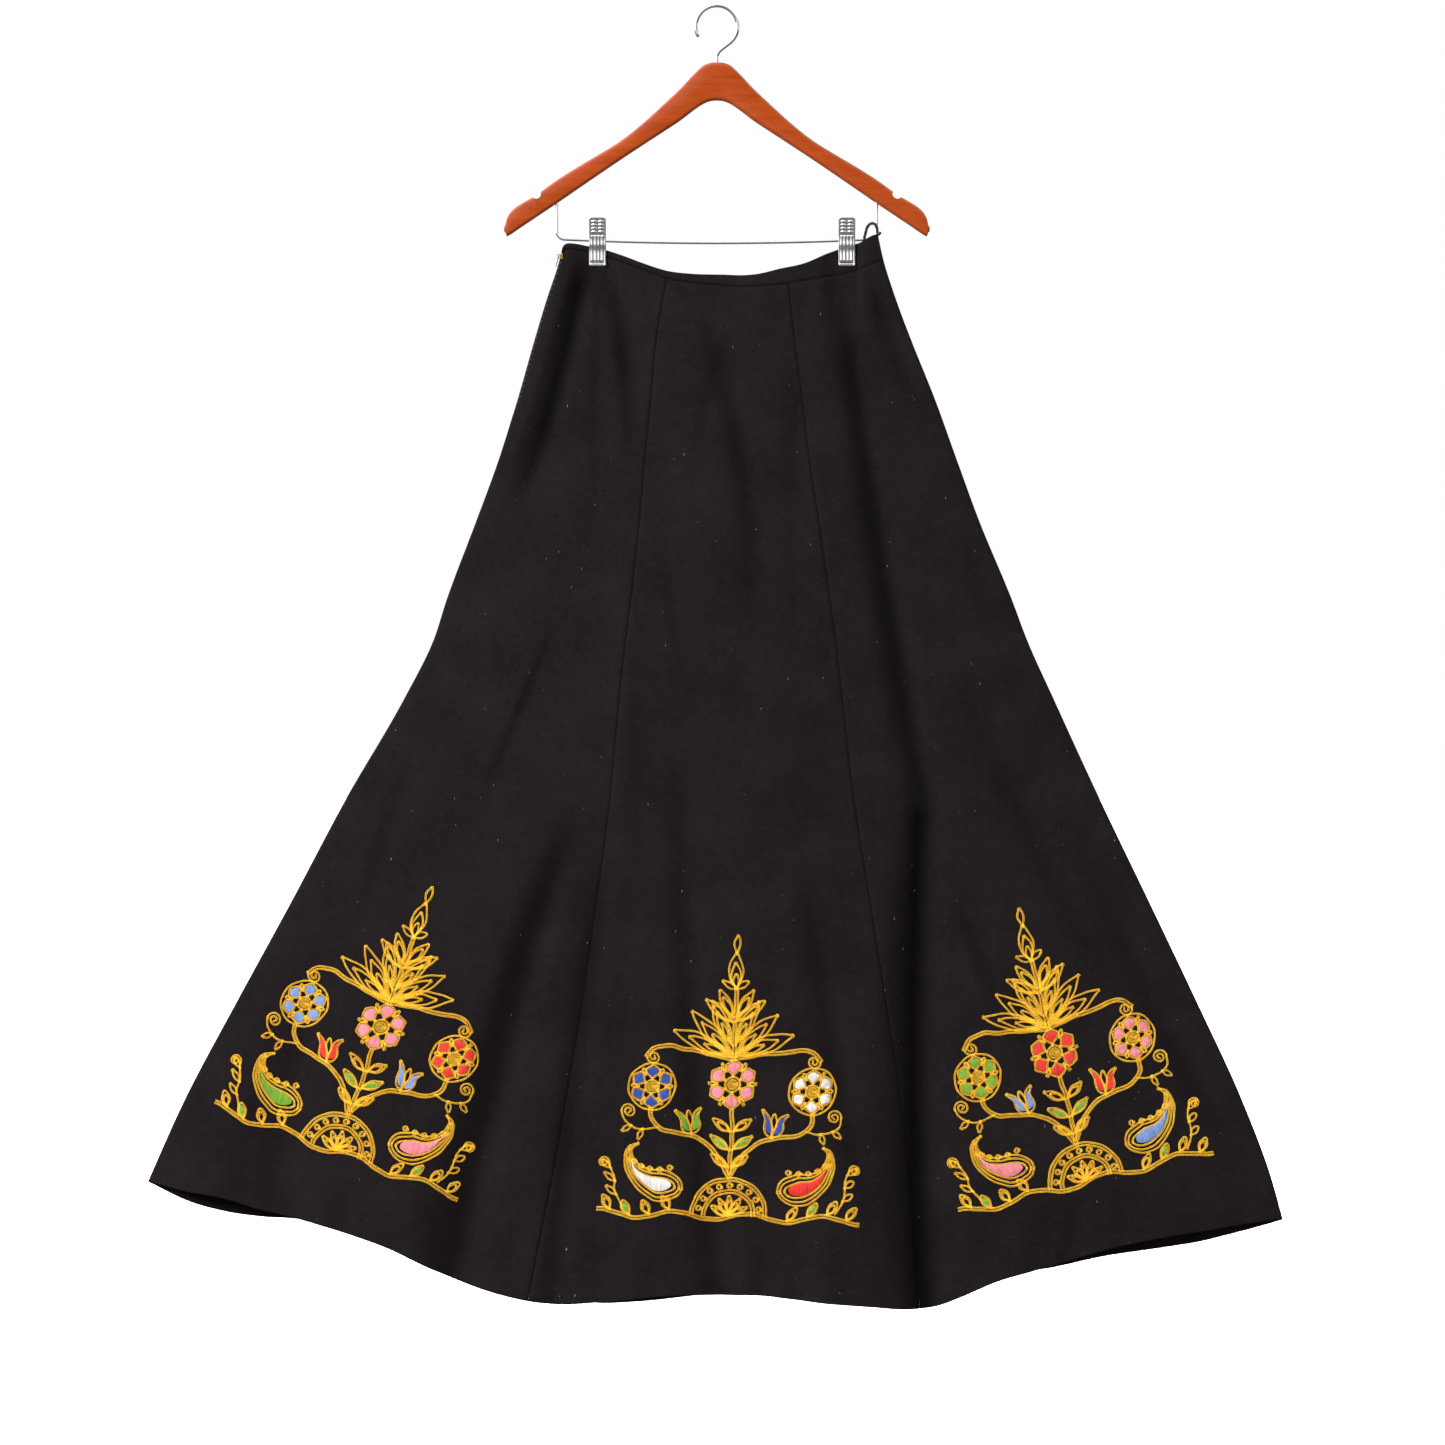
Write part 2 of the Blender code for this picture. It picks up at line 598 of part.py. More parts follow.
def make_clip(side, steel):
    middle = CLIP_X[side]
    axle = bar_drop(middle)
    centre = np.column_stack([CLIP_PROFILE["y"], CLIP_PROFILE["drop"]])
    along = np.gradient(centre, axis=0)
    along /= np.linalg.norm(along, axis=1)[:, None]
    across = np.column_stack([along[:, 1], -along[:, 0]]) * CLIP_PLATE / 2
    outline = np.concatenate([centre + across, (centre - across)[::-1]])
    cheeks = {"front": CLIP_WIDTH / 2, "back": CLIP_WIDTH / 2 - CHEEK - SEAM_GAP}
    for face, sign in (("front", 1), ("back", -1)):
        rings = np.array([np.column_stack([np.full(len(outline), middle + end * CLIP_WIDTH / 2),
                                           sign * outline[:, 0], outline[:, 1]]) for end in (-1, 1)])
        plate = add_loft(f"clip_{side}_{face}", stacked(rings[..., 0], rings[..., 1], rings[..., 2]), steel)
        for end in (-1, 1):
            outside = middle + end * cheeks[face]
            cheek = add_loft(f"cheek_tool_{side}_{face}_{end + 1}", box_rings(
                sorted((outside, outside - end * CHEEK)), sorted((-sign * 4.2, sign * CHEEK_REACH)),
                (axle - CHEEK_UP, axle + CHEEK_DOWN)), steel)
            combine(plate, cheek, "UNION")
        bore = add_loft(f"bore_tool_{side}_{face}", cylinder_rings(
            middle - CLIP_WIDTH, middle + CLIP_WIDTH, 0, BORE, 16, (0, 0, axle)), steel)
        combine(plate, bore, "DIFFERENCE")

    turn = np.arange(16) * 2 * np.pi / 16
    section = [(-SPRING_HALF, BORE), (-SPRING_HALF, SPRING_OUTER), (SPRING_HALF, SPRING_OUTER),
               (SPRING_HALF, BORE)]
    points = [(middle + x, r * math.cos(a), axle + r * math.sin(a)) for a in turn for x, r in section]
    index = np.arange(64).reshape(16, 4)
    faces = []
    for i in range(16):
        for k in range(4):
            n = (k + 1) % 4
            j = (i + 1) % 16
            faces.append((index[i, k], index[i, n], index[j, n], index[j, k]))
    points = np.array(points)
    add_object(f"clip_{side}_spring", stacked(points[:, 0], points[:, 1], points[:, 2]), faces, steel, 40)


def main():
    for old in list(bpy.data.objects):
        bpy.data.objects.remove(old, do_unlink=True)

    wool = finish_of("wool", (0.020, 0.016, 0.017), 0.95)
    tape_cloth = finish_of("zip_tape", (0.012, 0.011, 0.012), 0.85)
    brass = finish_of("brass", (0.62, 0.42, 0.15), 0.3, 1.0)
    wood = finish_of("lacquered_wood", (0.42, 0.09, 0.02), 0.25)
    steel = finish_of("chrome", (0.78, 0.78, 0.80), 0.15, 1.0)

    make_gores(wool)
    make_waistband(wool)
    make_zip(tape_cloth, brass)
    add_loft("hanger_loop", rod_rings(LOOP_PATH, *LOOP_HALF, 8, LOOP_Y), tape_cloth)
    make_hanger(wood, steel)
    for side in CLIP_X:
        make_clip(side, steel)


main()
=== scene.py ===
import math

import bmesh
import bpy
import numpy as np
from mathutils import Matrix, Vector


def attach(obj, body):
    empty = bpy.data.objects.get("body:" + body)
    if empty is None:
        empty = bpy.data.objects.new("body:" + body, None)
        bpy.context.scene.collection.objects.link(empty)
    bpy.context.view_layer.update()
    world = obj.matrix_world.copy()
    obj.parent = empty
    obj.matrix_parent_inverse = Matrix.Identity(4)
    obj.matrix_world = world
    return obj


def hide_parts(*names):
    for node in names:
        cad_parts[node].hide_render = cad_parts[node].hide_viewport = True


# An embroidered maxi skirt, clipped to a wooden hanger by its waist, with its hem open below.
# Lengths are in millimetres until a mesh is made. X runs to the viewer's right, the front
# faces -Y, and a "drop" is how far a point lies below the hook's inner top, the origin.

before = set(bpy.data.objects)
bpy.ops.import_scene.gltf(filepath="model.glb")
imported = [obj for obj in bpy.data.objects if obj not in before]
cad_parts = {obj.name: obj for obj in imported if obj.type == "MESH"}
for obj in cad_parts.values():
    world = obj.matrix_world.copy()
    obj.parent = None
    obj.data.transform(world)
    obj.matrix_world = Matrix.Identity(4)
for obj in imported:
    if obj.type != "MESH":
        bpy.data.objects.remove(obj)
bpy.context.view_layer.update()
mm = 0.001


def table(columns, rows):
    return dict(zip(columns.split(), np.array(rows, float).T))


# the side seams and the gore seams, seen from the front
seams = table("drop leftSide leftSeam rightSeam rightSide", [
    (240, -160.0, -46.0, 70.5, 169.5),
    (266, -165.7, -48.5, 72.7, 175.2),
    (308, -179.4, -56.6, 77.0, 188.8),
    (350, -192.0, -63.5, 82.0, 204.6),
    (413, -209.9, -69.4, 89.8, 229.9),
    (477, -229.9, -75.6, 97.3, 253.0),
    (540, -253.0, -81.0, 107.0, 276.1),
    (624, -284.6, -90.2, 118.9, 310.9),
    (666, -298.2, -95.5, 124.7, 326.7),
    (729, -329.8, -102.4, 131.8, 355.1),
    (834, -390.8, -112.2, 143.9, 403.4),
    (939, -446.6, -125.7, 160.4, 453.9),
    (1045, -504.4, -140.4, 177.2, 504.4),
    (1150, -560.2, -158.2, 193.6, 552.8),
    (1234, -598.0, -173.1, 203.7, 584.4),
    (1276, -616.0, -181.6, 206.7, 595.9),
    (1370, -655.0, -200.3, 213.0, 621.0),
])

waist = table("x topDrop seamDrop", [
    (-161.0, 248.0, 254.5),
    (-150.0, 248.8, 255.2),
    (-135.2, 251.4, 258.0),
    (-116.2, 255.6, 262.5),
    (-98.0, 262.0, 269.0),
    (-80.5, 268.7, 275.6),
    (-50.0, 278.3, 286.1),
    (-29.5, 280.8, 289.7),
    (8.7, 282.0, 293.5),
    (27.9, 282.5, 294.5),
    (43.1, 281.1, 294.0),
    (66.1, 275.6, 292.0),
    (91.6, 269.9, 287.8),
    (119.4, 258.0, 283.0),
    (127.8, 254.9, 281.5),
    (145.7, 249.3, 277.0),
    (152.0, 247.2, 274.7),
    (158.0, 243.5, 272.3),
    (163.0, 240.9, 270.2),
    (168.8, 239.0, 268.0),
    (175.0, 238.6, 265.5),
])

hem = table("x frontDrop backDrop", [
    (-597.0, 1236.1, 1237.0),
    (-555.0, 1246.7, 1258.0),
    (-520.0, 1252.5, 1268.0),
    (-482.0, 1264.6, 1274.0),
    (-447.6, 1271.8, 1276.5),
    (-391.9, 1287.6, 1287.0),
    (-348.7, 1302.4, 1301.0),
    (-290.9, 1330.0, 1327.0),
    (-230.9, 1350.8, 1350.0),
    (-175.2, 1361.5, 1362.0),
    (-121.5, 1359.7, 1367.0),
    (-35.2, 1352.4, 1361.0),
    (3.7, 1352.4, 1356.0),
    (46.8, 1352.8, 1354.0),
    (87.8, 1357.6, 1356.0),
    (161.5, 1365.0, 1362.0),
    (206.7, 1368.0, 1365.0),
    (230.9, 1364.5, 1362.0),
    (258.3, 1353.9, 1353.0),
    (294.0, 1338.5, 1339.0),
    (335.1, 1327.0, 1331.0),
    (374.0, 1316.1, 1324.0),
    (401.3, 1308.0, 1318.0),
    (450.8, 1297.1, 1310.0),
    (502.9, 1288.7, 1301.0),
    (583.3, 1276.6, 1280.0),
    (595.9, 1275.0, 1276.0),
])

halfRoom = table("drop half", [(240, 7.0), (300, 9.0), (420, 13.0), (700, 22.0), (1000, 30.0), (1370, 36.0)])

# each fold follows three points, and is a trough where its depth is positive; painted shade of strength `shade`
# darkens its colour
foldColumns = "x0 drop0 x1 drop1 x2 drop2 width0 width2 depth0 depth1 depth2 shade"
frontFolds = table(foldColumns, [
    (-143, 268, -168, 390, -217, 540, 10, 18, 6.0, 6.0, 1.0, 0.9),
    (-112, 285, -96, 380, -89, 480, 8, 10, 4.0, 4.0, 1.0, 0.55),
    (-17, 319, 25, 477, 37, 666, 12, 16, 2.5, 4.0, 1.0, 0.45),
    (85, 330, 83, 500, 83, 730, 12, 14, 2.0, 2.5, 1.0, 0.25),
    (128, 298, 172, 592, 212, 834, 12, 18, 4.0, 7.0, 8.0, 0.7),
    (212, 834, 206, 992, 216, 1420, 20, 40, 9.0, 15.0, 16.0, 1.0),
    (161, 290, 180, 340, 225, 445, 9, 15, 3.0, 3.5, 1.0, 0.35),
    (-159, 866, -207, 1024, -300, 1420, 14, 34, 6.0, 13.0, 14.0, 0.55),
    (-122, 918, -138, 1034, -180, 1420, 12, 14, 3.0, 5.0, 5.0, 0.35),
    (-38, 813, -28, 1044, 12, 1420, 14, 17, 4.0, 6.0, 11.0, 0.25),
    (93, 897, 124, 1108, 160, 1290, 12, 14, 3.0, 4.5, 3.0, 0.25),
    (261, 708, 352, 918, 430, 1055, 18, 24, 2.5, 4.0, 2.0, 0.25),
    (403, 939, 476, 1087, 560, 1230, 20, 22, 4.0, 5.5, 3.0, 0.25),
    (-96, 600, -96, 760, -100, 950, 15, 18, -3.0, -4.0, -2.0, 0),
    (110, 1250, 113, 1320, 118, 1420, 20, 22, -3.0, -7.0, -8.0, 0),
    (-420, 1000, -450, 1120, -490, 1420, 26, 34, 3.0, 6.0, 9.0, 0.25),
])
backFolds = table(foldColumns, [
    (-128, 300, -160, 560, -215, 860, 12, 20, 5.0, 7.0, 6.0, 0.5),
    (-215, 860, -260, 1080, -330, 1420, 20, 40, 6.0, 13.0, 15.0, 0.6),
    (132, 300, 150, 520, 175, 800, 12, 18, 4.0, 6.0, 4.0, 0.4),
    (240, 820, 300, 1060, 360, 1420, 18, 38, 5.0, 11.0, 14.0, 0.55),
    (10, 700, 20, 1000, 30, 1420, 18, 34, 3.0, 9.0, 13.0, 0.4),
    (-110, 900, -118, 1120, -130, 1420, 14, 22, 3.0, 5.0, 8.0, 0.3),
    (440, 1000, 470, 1120, 520, 1420, 20, 26, 3.0, 5.0, 6.0, 0.25),
])
# creases too fine for the solids
frontCreases = table(foldColumns, [
    (-170, 655, -207, 745, -244, 834, 5, 7, 1.6, 2.4, 1.0, 0.3),
    (-122, 300, -125, 400, -128, 540, 6, 8, 1.2, 1.4, 0.5, 0.2),
    (-60, 560, -45, 640, -40, 720, 7, 9, 0.9, 1.3, 0.5, 0.2),
    (20, 330, -10, 420, -28, 520, 7, 9, 0.8, 1.1, 0.4, 0.2),
    (250, 470, 268, 560, 280, 650, 8, 10, 0.8, 1.3, 0.5, 0.2),
    (-330, 800, -352, 880, -380, 980, 9, 12, 1.0, 1.6, 0.6, 0.2),
    (300, 990, 318, 1060, 330, 1140, 9, 11, 0.9, 1.5, 0.7, 0.2),
    (256, 953, 283, 1018, 292, 1060, 7, 9, 1.4, 1.8, 0.6, 0.3),
])
backCreases = table(foldColumns, [
    (-60, 330, -48, 420, -40, 520, 7, 9, 1.0, 1.4, 0.5, 0.2),
    (180, 560, 205, 660, 240, 770, 8, 10, 1.0, 1.6, 0.6, 0.25),
    (-250, 700, -290, 800, -320, 900, 8, 11, 1.2, 1.8, 0.7, 0.25),
    (95, 980, 110, 1080, 120, 1180, 9, 11, 1.2, 1.6, 0.8, 0.2),
    (380, 1010, 400, 1080, 425, 1150, 9, 11, 1.0, 1.5, 0.7, 0.2),
])
# short waves of the turned-up hem
hemWaves = table("x depth width tall", [
    (-538, 1.6, 12, 60), (-501, 2.2, 13, 70), (-443, 1.8, 14, 75), (-391, 2.0, 12, 70),
    (-333, 1.8, 13, 65), (-250, 1.4, 12, 60), (-123, 2.2, 12, 75), (-70, 2.0, 11, 60),
    (46, 2.4, 12, 70), (85, 1.8, 10, 60), (272, 2.0, 13, 70), (335, 2.2, 12, 70),
    (372, 3.0, 12, 85), (424, 2.0, 12, 70), (493, 2.0, 14, 75), (551, 1.6, 12, 60),
])

cloth = {
    "wall": 2.0,
    "seamGap": 0.04,  # between pieces that are sewn together
    "layerGap": 0.06,  # between the front and the back where they lie on each other
    "lensPower": 2.5,
    "calmEdge": 0.1,
    "foldStart": (276, 312),
    "clipX": {"left": -125.5, "right": 136.8},
    "grip": (9.3, 30.0),
    "gripDrops": (284, 370),
    "forward": 6.0,  # the right corner of the waist passes in front of the bar
    "forwardX": (146.5, 155.0),
    "forwardDrops": (262, 340),
    "tapeRoom": 1.15,
    "tapeRoomX": (14, 26),
    "tapeRoomDrops": (450, 500),
    "zipSlit": 3.2,  # the front's folded edge stands back by this
    "zipSlitDrops": (412, 430),
    "seamDip": (0.9, 1.5),  # how deep the outer face dips at a seam, and how far in
    "sideDip": (1.3, 1.8),
    "ripple": 0.22,
    "paintedShadeReach": 8.0,  # the painted shade in a trough is this wide
    "paintedShadeWidth": 0.25,  # and this share of its width more
    "paintedShadeStart": (256, 276),
    "paintedSeamShade": (0.6, 0.8),  # how dark the painted shade at a seam's edge is, and how far in
    "leftCorner": (-155.0, 7.0, 5.0),  # the waist's corner is round: where from, how far and how deep
}


def ease(at, low, high):
    t = np.clip((at - low) / (high - low), 0, 1)
    return t * t * (3 - 2 * t)


def smooth(at, places, values):
    # a smooth line through a table's rows, straight on past its ends
    slopes = np.gradient(values, places)
    i = np.clip(np.searchsorted(places, at) - 1, 0, len(places) - 2)
    step = places[i + 1] - places[i]
    t = np.clip((at - places[i]) / step, 0, 1)
    inside = (
        (2 * t**3 - 3 * t**2 + 1) * values[i]
        + (t**3 - 2 * t**2 + t) * step * slopes[i]
        + (3 * t**2 - 2 * t**3) * values[i + 1]
        + (t**3 - t**2) * step * slopes[i + 1]
    )
    past = at - places[i] - t * step
    return inside + past * np.where(t > 0.5, slopes[i + 1], slopes[i])


def seamX(name, drop):
    return smooth(drop, seams["drop"], seams[name])


def hemDrop(side, x):
    return smooth(x, hem["x"], hem[side + "Drop"])


def waistTop(x):
    start, far, deep = cloth["leftCorner"]
    rounding = deep * (1 - np.sqrt(1 - np.clip((start - x) / far, 0, 1) ** 2))
    return smooth(x, waist["x"], waist["topDrop"]) + rounding


def waistSeam(x):
    return smooth(x, waist["x"], waist["seamDrop"])


def across(x, drop):
    # -1 at the left side seam, 1 at the right one
    left, right = seamX("leftSide", drop), seamX("rightSide", drop)
    return np.clip((2 * x - left - right) / (right - left), -1, 1)


def eachFold(rows, x, drop):
    # for each fold: how far x lies beside it, its width and depth there, and its shade
    for k in range(len(rows["x0"])):
        f = {name: column[k] for name, column in rows.items()}
        drops = np.array([f["drop0"], f["drop1"], f["drop2"]])
        bend = np.polyfit(drops, [f["x0"], f["x1"], f["x2"]], 2)
        at = np.clip(drop, drops[0], drops[2])
        width = np.interp(at, drops[[0, 2]], [f["width0"], f["width2"]])
        depth = np.interp(at, drops, [f["depth0"], f["depth1"], f["depth2"]])
        runOut = 0.2 * (drops[2] - drops[0])
        ends = ease(drop, drops[0] - runOut / 2, drops[0] + runOut)
        ends = ends * (1 - ease(drop, drops[2] - runOut, drops[2] + runOut / 2))
        yield x - np.polyval(bend, at), width, depth * ends, f["shade"]


def foldPush(rows, x, drop):
    return sum(depth * np.exp(-((aside / width) ** 2)) for aside, width, depth, _ in eachFold(rows, x, drop))


def hemPush(side, x, drop):
    # short waves that grow towards the hem
    push = np.zeros_like(x)
    sign = 1 if side == "front" else -1
    up = hemDrop(side, x) - drop
    for x0, depth, width, tall in zip(*hemWaves.values()):
        middle = x0 * (1 if side == "front" else 0.94) + sign * 0.12 * up
        push = push + depth * (1 - ease(up, 0.15 * tall, tall)) * np.exp(-((x - middle) / width) ** 2)
    return push


def ripple(x, drop):
    # the slight unevenness that hanging cloth always has
    waves = [(0.031, 0.012, 0.3), (0.017, -0.021, 1.9), (0.052, 0.008, 4.1), (-0.024, 0.030, 2.7)]
    return sum(np.sin(a * x + b * drop + phase) for a, b, phase in waves) / 2


def calm(x, drop):
    return ease(drop, *cloth["foldStart"]) * ease(1 - np.abs(across(x, drop)), 0, cloth["calmEdge"])


def roomAt(x, drop):
    # half of the space between the two walls, before their folds
    room = np.interp(drop, halfRoom["drop"], halfRoom["half"])
    room = room * (1 - np.abs(across(x, drop)) ** cloth["lensPower"])
    for clipX in cloth["clipX"].values():
        beside = ease(np.abs(x - clipX), *cloth["grip"])
        room = room * (1 - (1 - beside) * (1 - ease(drop, *cloth["gripDrops"])))
    inside = x - seamX("leftSide", drop)
    beside = 1 - ease(inside, *cloth["tapeRoomX"])
    return cloth["layerGap"] / 2 + room + cloth["tapeRoom"] * beside * (1 - ease(drop, *cloth["tapeRoomDrops"]))


def layers(x, drop):
    # y half way between the walls, and of the inner face of the front and of the back
    room = roomAt(x, drop)
    most = 0.8 * (room - cloth["layerGap"] / 2)
    quiet = calm(x, drop)
    front = quiet * (foldPush(frontFolds, x, drop) + foldPush(frontCreases, x, drop)
                     + hemPush("front", x, drop) + cloth["ripple"] * ripple(x, drop))
    back = quiet * (foldPush(backFolds, x, drop) + foldPush(backCreases, x, drop)
                    + hemPush("back", x, drop) - cloth["ripple"] * ripple(x + 70, drop))
    frontOwn, backOwn = np.minimum(front, most), np.minimum(back, most)
    middle = (front - frontOwn) - (back - backOwn)
    middle = middle - cloth["forward"] * ease(x, *cloth["forwardX"]) * (1 - ease(drop, *cloth["forwardDrops"]))
    return middle, middle - room + frontOwn, middle + room - backOwn


def paintedShadeAt(side, x, drop):
    # painted shade in a trough, from 0 to 1: how much its colour is darkened
    paintedShade = np.zeros_like(x)
    for rows, full in ((frontFolds, 4.0), (frontCreases, 1.2)) if side == "front" else (
            (backFolds, 4.0), (backCreases, 1.2)):
        for aside, width, depth, shade in eachFold(rows, x, drop):
            reach = cloth["paintedShadeReach"] + cloth["paintedShadeWidth"] * width
            dark = shade * np.clip(depth / full, 0, 1) * np.exp(-((aside / reach) ** 2))
            paintedShade = paintedShade + (1 - paintedShade) * dark
    return paintedShade * ease(drop, *cloth["paintedShadeStart"]) * ease(1 - np.abs(across(x, drop)), 0, cloth["calmEdge"])


def stacked(x, y, drop):
    return np.stack([x, y, -drop], axis=-1) * mm


def frontSkin(x, drop, lift=0.0):
    # points on the front's outer face, and the way out of it
    step = 0.6

    def face(a, b):
        return layers(a, b)[1] - cloth["wall"]

    slopeX = (face(x + step, drop) - face(x - step, drop)) / (2 * step)
    slopeDrop = (face(x, drop + step) - face(x, drop - step)) / (2 * step)
    out = np.stack([slopeX, -np.ones_like(x), -slopeDrop], axis=-1)
    out /= np.linalg.norm(out, axis=-1)[..., None]
    return stacked(x, face(x, drop), drop) + out * np.asarray(lift)[..., None] * mm, out


# Finishes

def newFinish(name, **values):
    material = bpy.data.materials.new(name)
    material.use_nodes = True
    shader = material.node_tree.nodes["Principled BSDF"]
    for socket, value in values.items():
        label = socket.replace("_", " ")
        shader.inputs[label].default_value = (*value, 1) if isinstance(value, tuple) and len(value) == 3 else value
    return material, material.node_tree, shader


def addNode(tree, kind, inputs=(), **settings):
    node = tree.nodes.new(kind)
    for name, value in settings.items():
        setattr(node, name, value)
    for name, value in dict(inputs).items():
        if isinstance(value, bpy.types.NodeSocket):
            tree.links.new(value, node.inputs[name])
        else:
            node.inputs[name].default_value = value
    return node


def placeOf(tree, scale=(1, 1, 1)):
    coordinates = addNode(tree, "ShaderNodeTexCoord")
    return addNode(tree, "ShaderNodeMapping", {"Vector": coordinates.outputs["Object"], "Scale": scale}).outputs[0]


def noiseAt(tree, place, size, detail=2.0, roughness=0.5):
    # a pattern whose lumps are about `size` millimetres
    return addNode(tree, "ShaderNodeTexNoise", {
        "Vector": place, "Scale": 1 / (size * mm), "Detail": detail, "Roughness": roughness}).outputs["Fac"]


def blendColours(tree, factor, low, high):
    ramp = addNode(tree, "ShaderNodeMix", {"Factor": factor}, data_type="RGBA")
    for socket, colour in ((ramp.inputs[6], low), (ramp.inputs[7], high)):
        if isinstance(colour, bpy.types.NodeSocket):
            tree.links.new(colour, socket)
        else:
            socket.default_value = (*colour, 1)
    return ramp.outputs[2]


def spread(tree, value, low, high, to=(0.0, 1.0)):
    return addNode(tree, "ShaderNodeMapRange", {
        "Value": value, "From Min": low, "From Max": high, "To Min": to[0], "To Max": to[1]}).outputs[0]


def addBump(tree, shader, height, strength, distance, under=None):
    bump = addNode(tree, "ShaderNodeBump", {"Height": height, "Strength": strength, "Distance": distance * mm})
    if under is not None:
        tree.links.new(under, bump.inputs["Normal"])
    tree.links.new(bump.outputs[0], shader.inputs["Normal"])
    return bump.outputs[0]


woolLook = {
    "dark": (0.0050, 0.0038, 0.0041),
    "light": (0.0104, 0.0080, 0.0084),
    "lint": (0.11, 0.10, 0.09),
    "yarn": 0.62,  # between threads of the plain weave
    "nap": 0.35,
    "sheenTint": (0.42, 0.38, 0.40),
    "paintedTroughShade": 0.10,  # painted shade: what is left of the colour at the bottom of a trough
}


def makeWool():
    look = woolLook
    material, tree, shader = newFinish(
        "blackWool", Roughness=0.92, Specular_IOR_Level=0.06, Sheen_Weight=0.04, Sheen_Roughness=0.5,
        Sheen_Tint=look["sheenTint"])
    place = placeOf(tree)
    cloudy = noiseAt(tree, place, 60, 3)
    fuzz = noiseAt(tree, place, 1.6, 3, 0.7)
    blotch = noiseAt(tree, place, 7, 2)
    warp = addNode(tree, "ShaderNodeTexWave", {"Vector": place, "Scale": 1 / (20 * look["yarn"] * mm) * 1.0,
                                               "Distortion": 0.6, "Detail": 1.0, "Detail Scale": 2.0},
                   bands_direction="X").outputs["Fac"]
    weft = addNode(tree, "ShaderNodeTexWave", {"Vector": place, "Scale": 1 / (20 * look["yarn"] * mm) * 0.93,
                                               "Distortion": 0.6, "Detail": 1.0, "Detail Scale": 2.0},
                   bands_direction="Z").outputs["Fac"]
    weave = addNode(tree, "ShaderNodeMath", {0: warp, 1: weft}, operation="MULTIPLY").outputs[0]
    mixed = addNode(tree, "ShaderNodeMath", {0: spread(tree, cloudy, 0.3, 0.7, (0, 0.45)),
                                             1: spread(tree, fuzz, 0.3, 0.75, (0, 0.55))}, operation="ADD")
    tone = addNode(tree, "ShaderNodeMath", {0: mixed.outputs[0], 1: spread(tree, blotch, 0.35, 0.7, (-0.12, 0.16))},
                   operation="ADD", use_clamp=True)
    base = blendColours(tree, tone.outputs[0], look["dark"], look["light"])
    # painted shade: the wool's colour is darkened in fold troughs and along seams, as the attribute says
    paintedShade = addNode(tree, "ShaderNodeAttribute", attribute_name="paintedShade").outputs["Fac"]
    base = addNode(tree, "ShaderNodeHueSaturation", {
        "Color": base, "Value": spread(tree, paintedShade, 0, 1, (1.0, look["paintedTroughShade"]))}).outputs[0]
    flecks = noiseAt(tree, placeOf(tree, (1, 1, 0.35)), 2.2, 1, 0.4)
    specks = spread(tree, flecks, 0.80, 0.845)
    tree.links.new(blendColours(tree, specks, base, look["lint"]), shader.inputs["Base Color"])
    tree.links.new(spread(tree, fuzz, 0.3, 0.7, (0.86, 0.97)), shader.inputs["Roughness"])
    under = addBump(tree, shader, weave, 0.35, 0.18)
    addBump(tree, shader, fuzz, 0.5, look["nap"], under)
    return material


def makeTape():
    material, tree, shader = newFinish("ribbedTape", Roughness=0.8, Specular_IOR_Level=0.2, Sheen_Weight=0.08)
    place = placeOf(tree)
    ribs = addNode(tree, "ShaderNodeTexWave", {"Vector": place, "Scale": 1 / (20 * 0.9 * mm), "Distortion": 0.4},
                   bands_direction="Z").outputs["Fac"]
    tree.links.new(blendColours(tree, ribs, (0.006, 0.0055, 0.006), (0.024, 0.022, 0.023)),
                   shader.inputs["Base Color"])
    addBump(tree, shader, ribs, 0.6, 0.15)
    return material


def makeBrass():
    material, tree, shader = newFinish("agedBrass", Metallic=1.0, Roughness=0.3)
    place = placeOf(tree)
    stain = noiseAt(tree, place, 2.5, 3)
    tree.links.new(blendColours(tree, spread(tree, stain, 0.35, 0.7), (0.70, 0.46, 0.17), (0.40, 0.25, 0.10)),
                   shader.inputs["Base Color"])
    tree.links.new(spread(tree, stain, 0.3, 0.7, (0.22, 0.45)), shader.inputs["Roughness"])
    addBump(tree, shader, noiseAt(tree, place, 0.5, 2), 0.2, 0.05)
    return material


def makeChrome():
    material, tree, shader = newFinish("brightChrome", Base_Color=(0.74, 0.73, 0.74), Metallic=1.0, Roughness=0.12)
    place = placeOf(tree)
    rub = noiseAt(tree, placeOf(tree, (1, 1, 0.2)), 1.2, 3)
    tree.links.new(blendColours(tree, noiseAt(tree, place, 9, 2), (0.62, 0.61, 0.62), (0.84, 0.83, 0.83)),
                   shader.inputs["Base Color"])
    tree.links.new(spread(tree, rub, 0.3, 0.75, (0.07, 0.22)), shader.inputs["Roughness"])
    addBump(tree, shader, rub, 0.12, 0.03)
    return material


def makeLacquer():
    material, tree, shader = newFinish("cherryLacquer", Roughness=0.28, Coat_Weight=0.35, Coat_Roughness=0.1,
                                       Specular_IOR_Level=0.2)
    turned = addNode(tree, "ShaderNodeMapping", {
        "Vector": addNode(tree, "ShaderNodeTexCoord").outputs["Object"], "Scale": (0.10, 1, 1.0),
        "Rotation": (0, math.radians(38), 0)}).outputs[0]
    grain = noiseAt(tree, turned, 7, 5, 0.65)
    pores = noiseAt(tree, turned, 1.1, 3, 0.7)
    tone = blendColours(tree, spread(tree, grain, 0.3, 0.72), (0.200, 0.026, 0.0022), (0.262, 0.040, 0.0040))
    tree.links.new(blendColours(tree, spread(tree, pores, 0.62, 0.75, (0, 0.35)), tone, (0.11, 0.012, 0.002)),
                   shader.inputs["Base Color"])
    tree.links.new(spread(tree, grain, 0.3, 0.7, (0.22, 0.36)), shader.inputs["Roughness"])
    addBump(tree, shader, pores, 0.1, 0.05)
    return material


# Mesh helpers

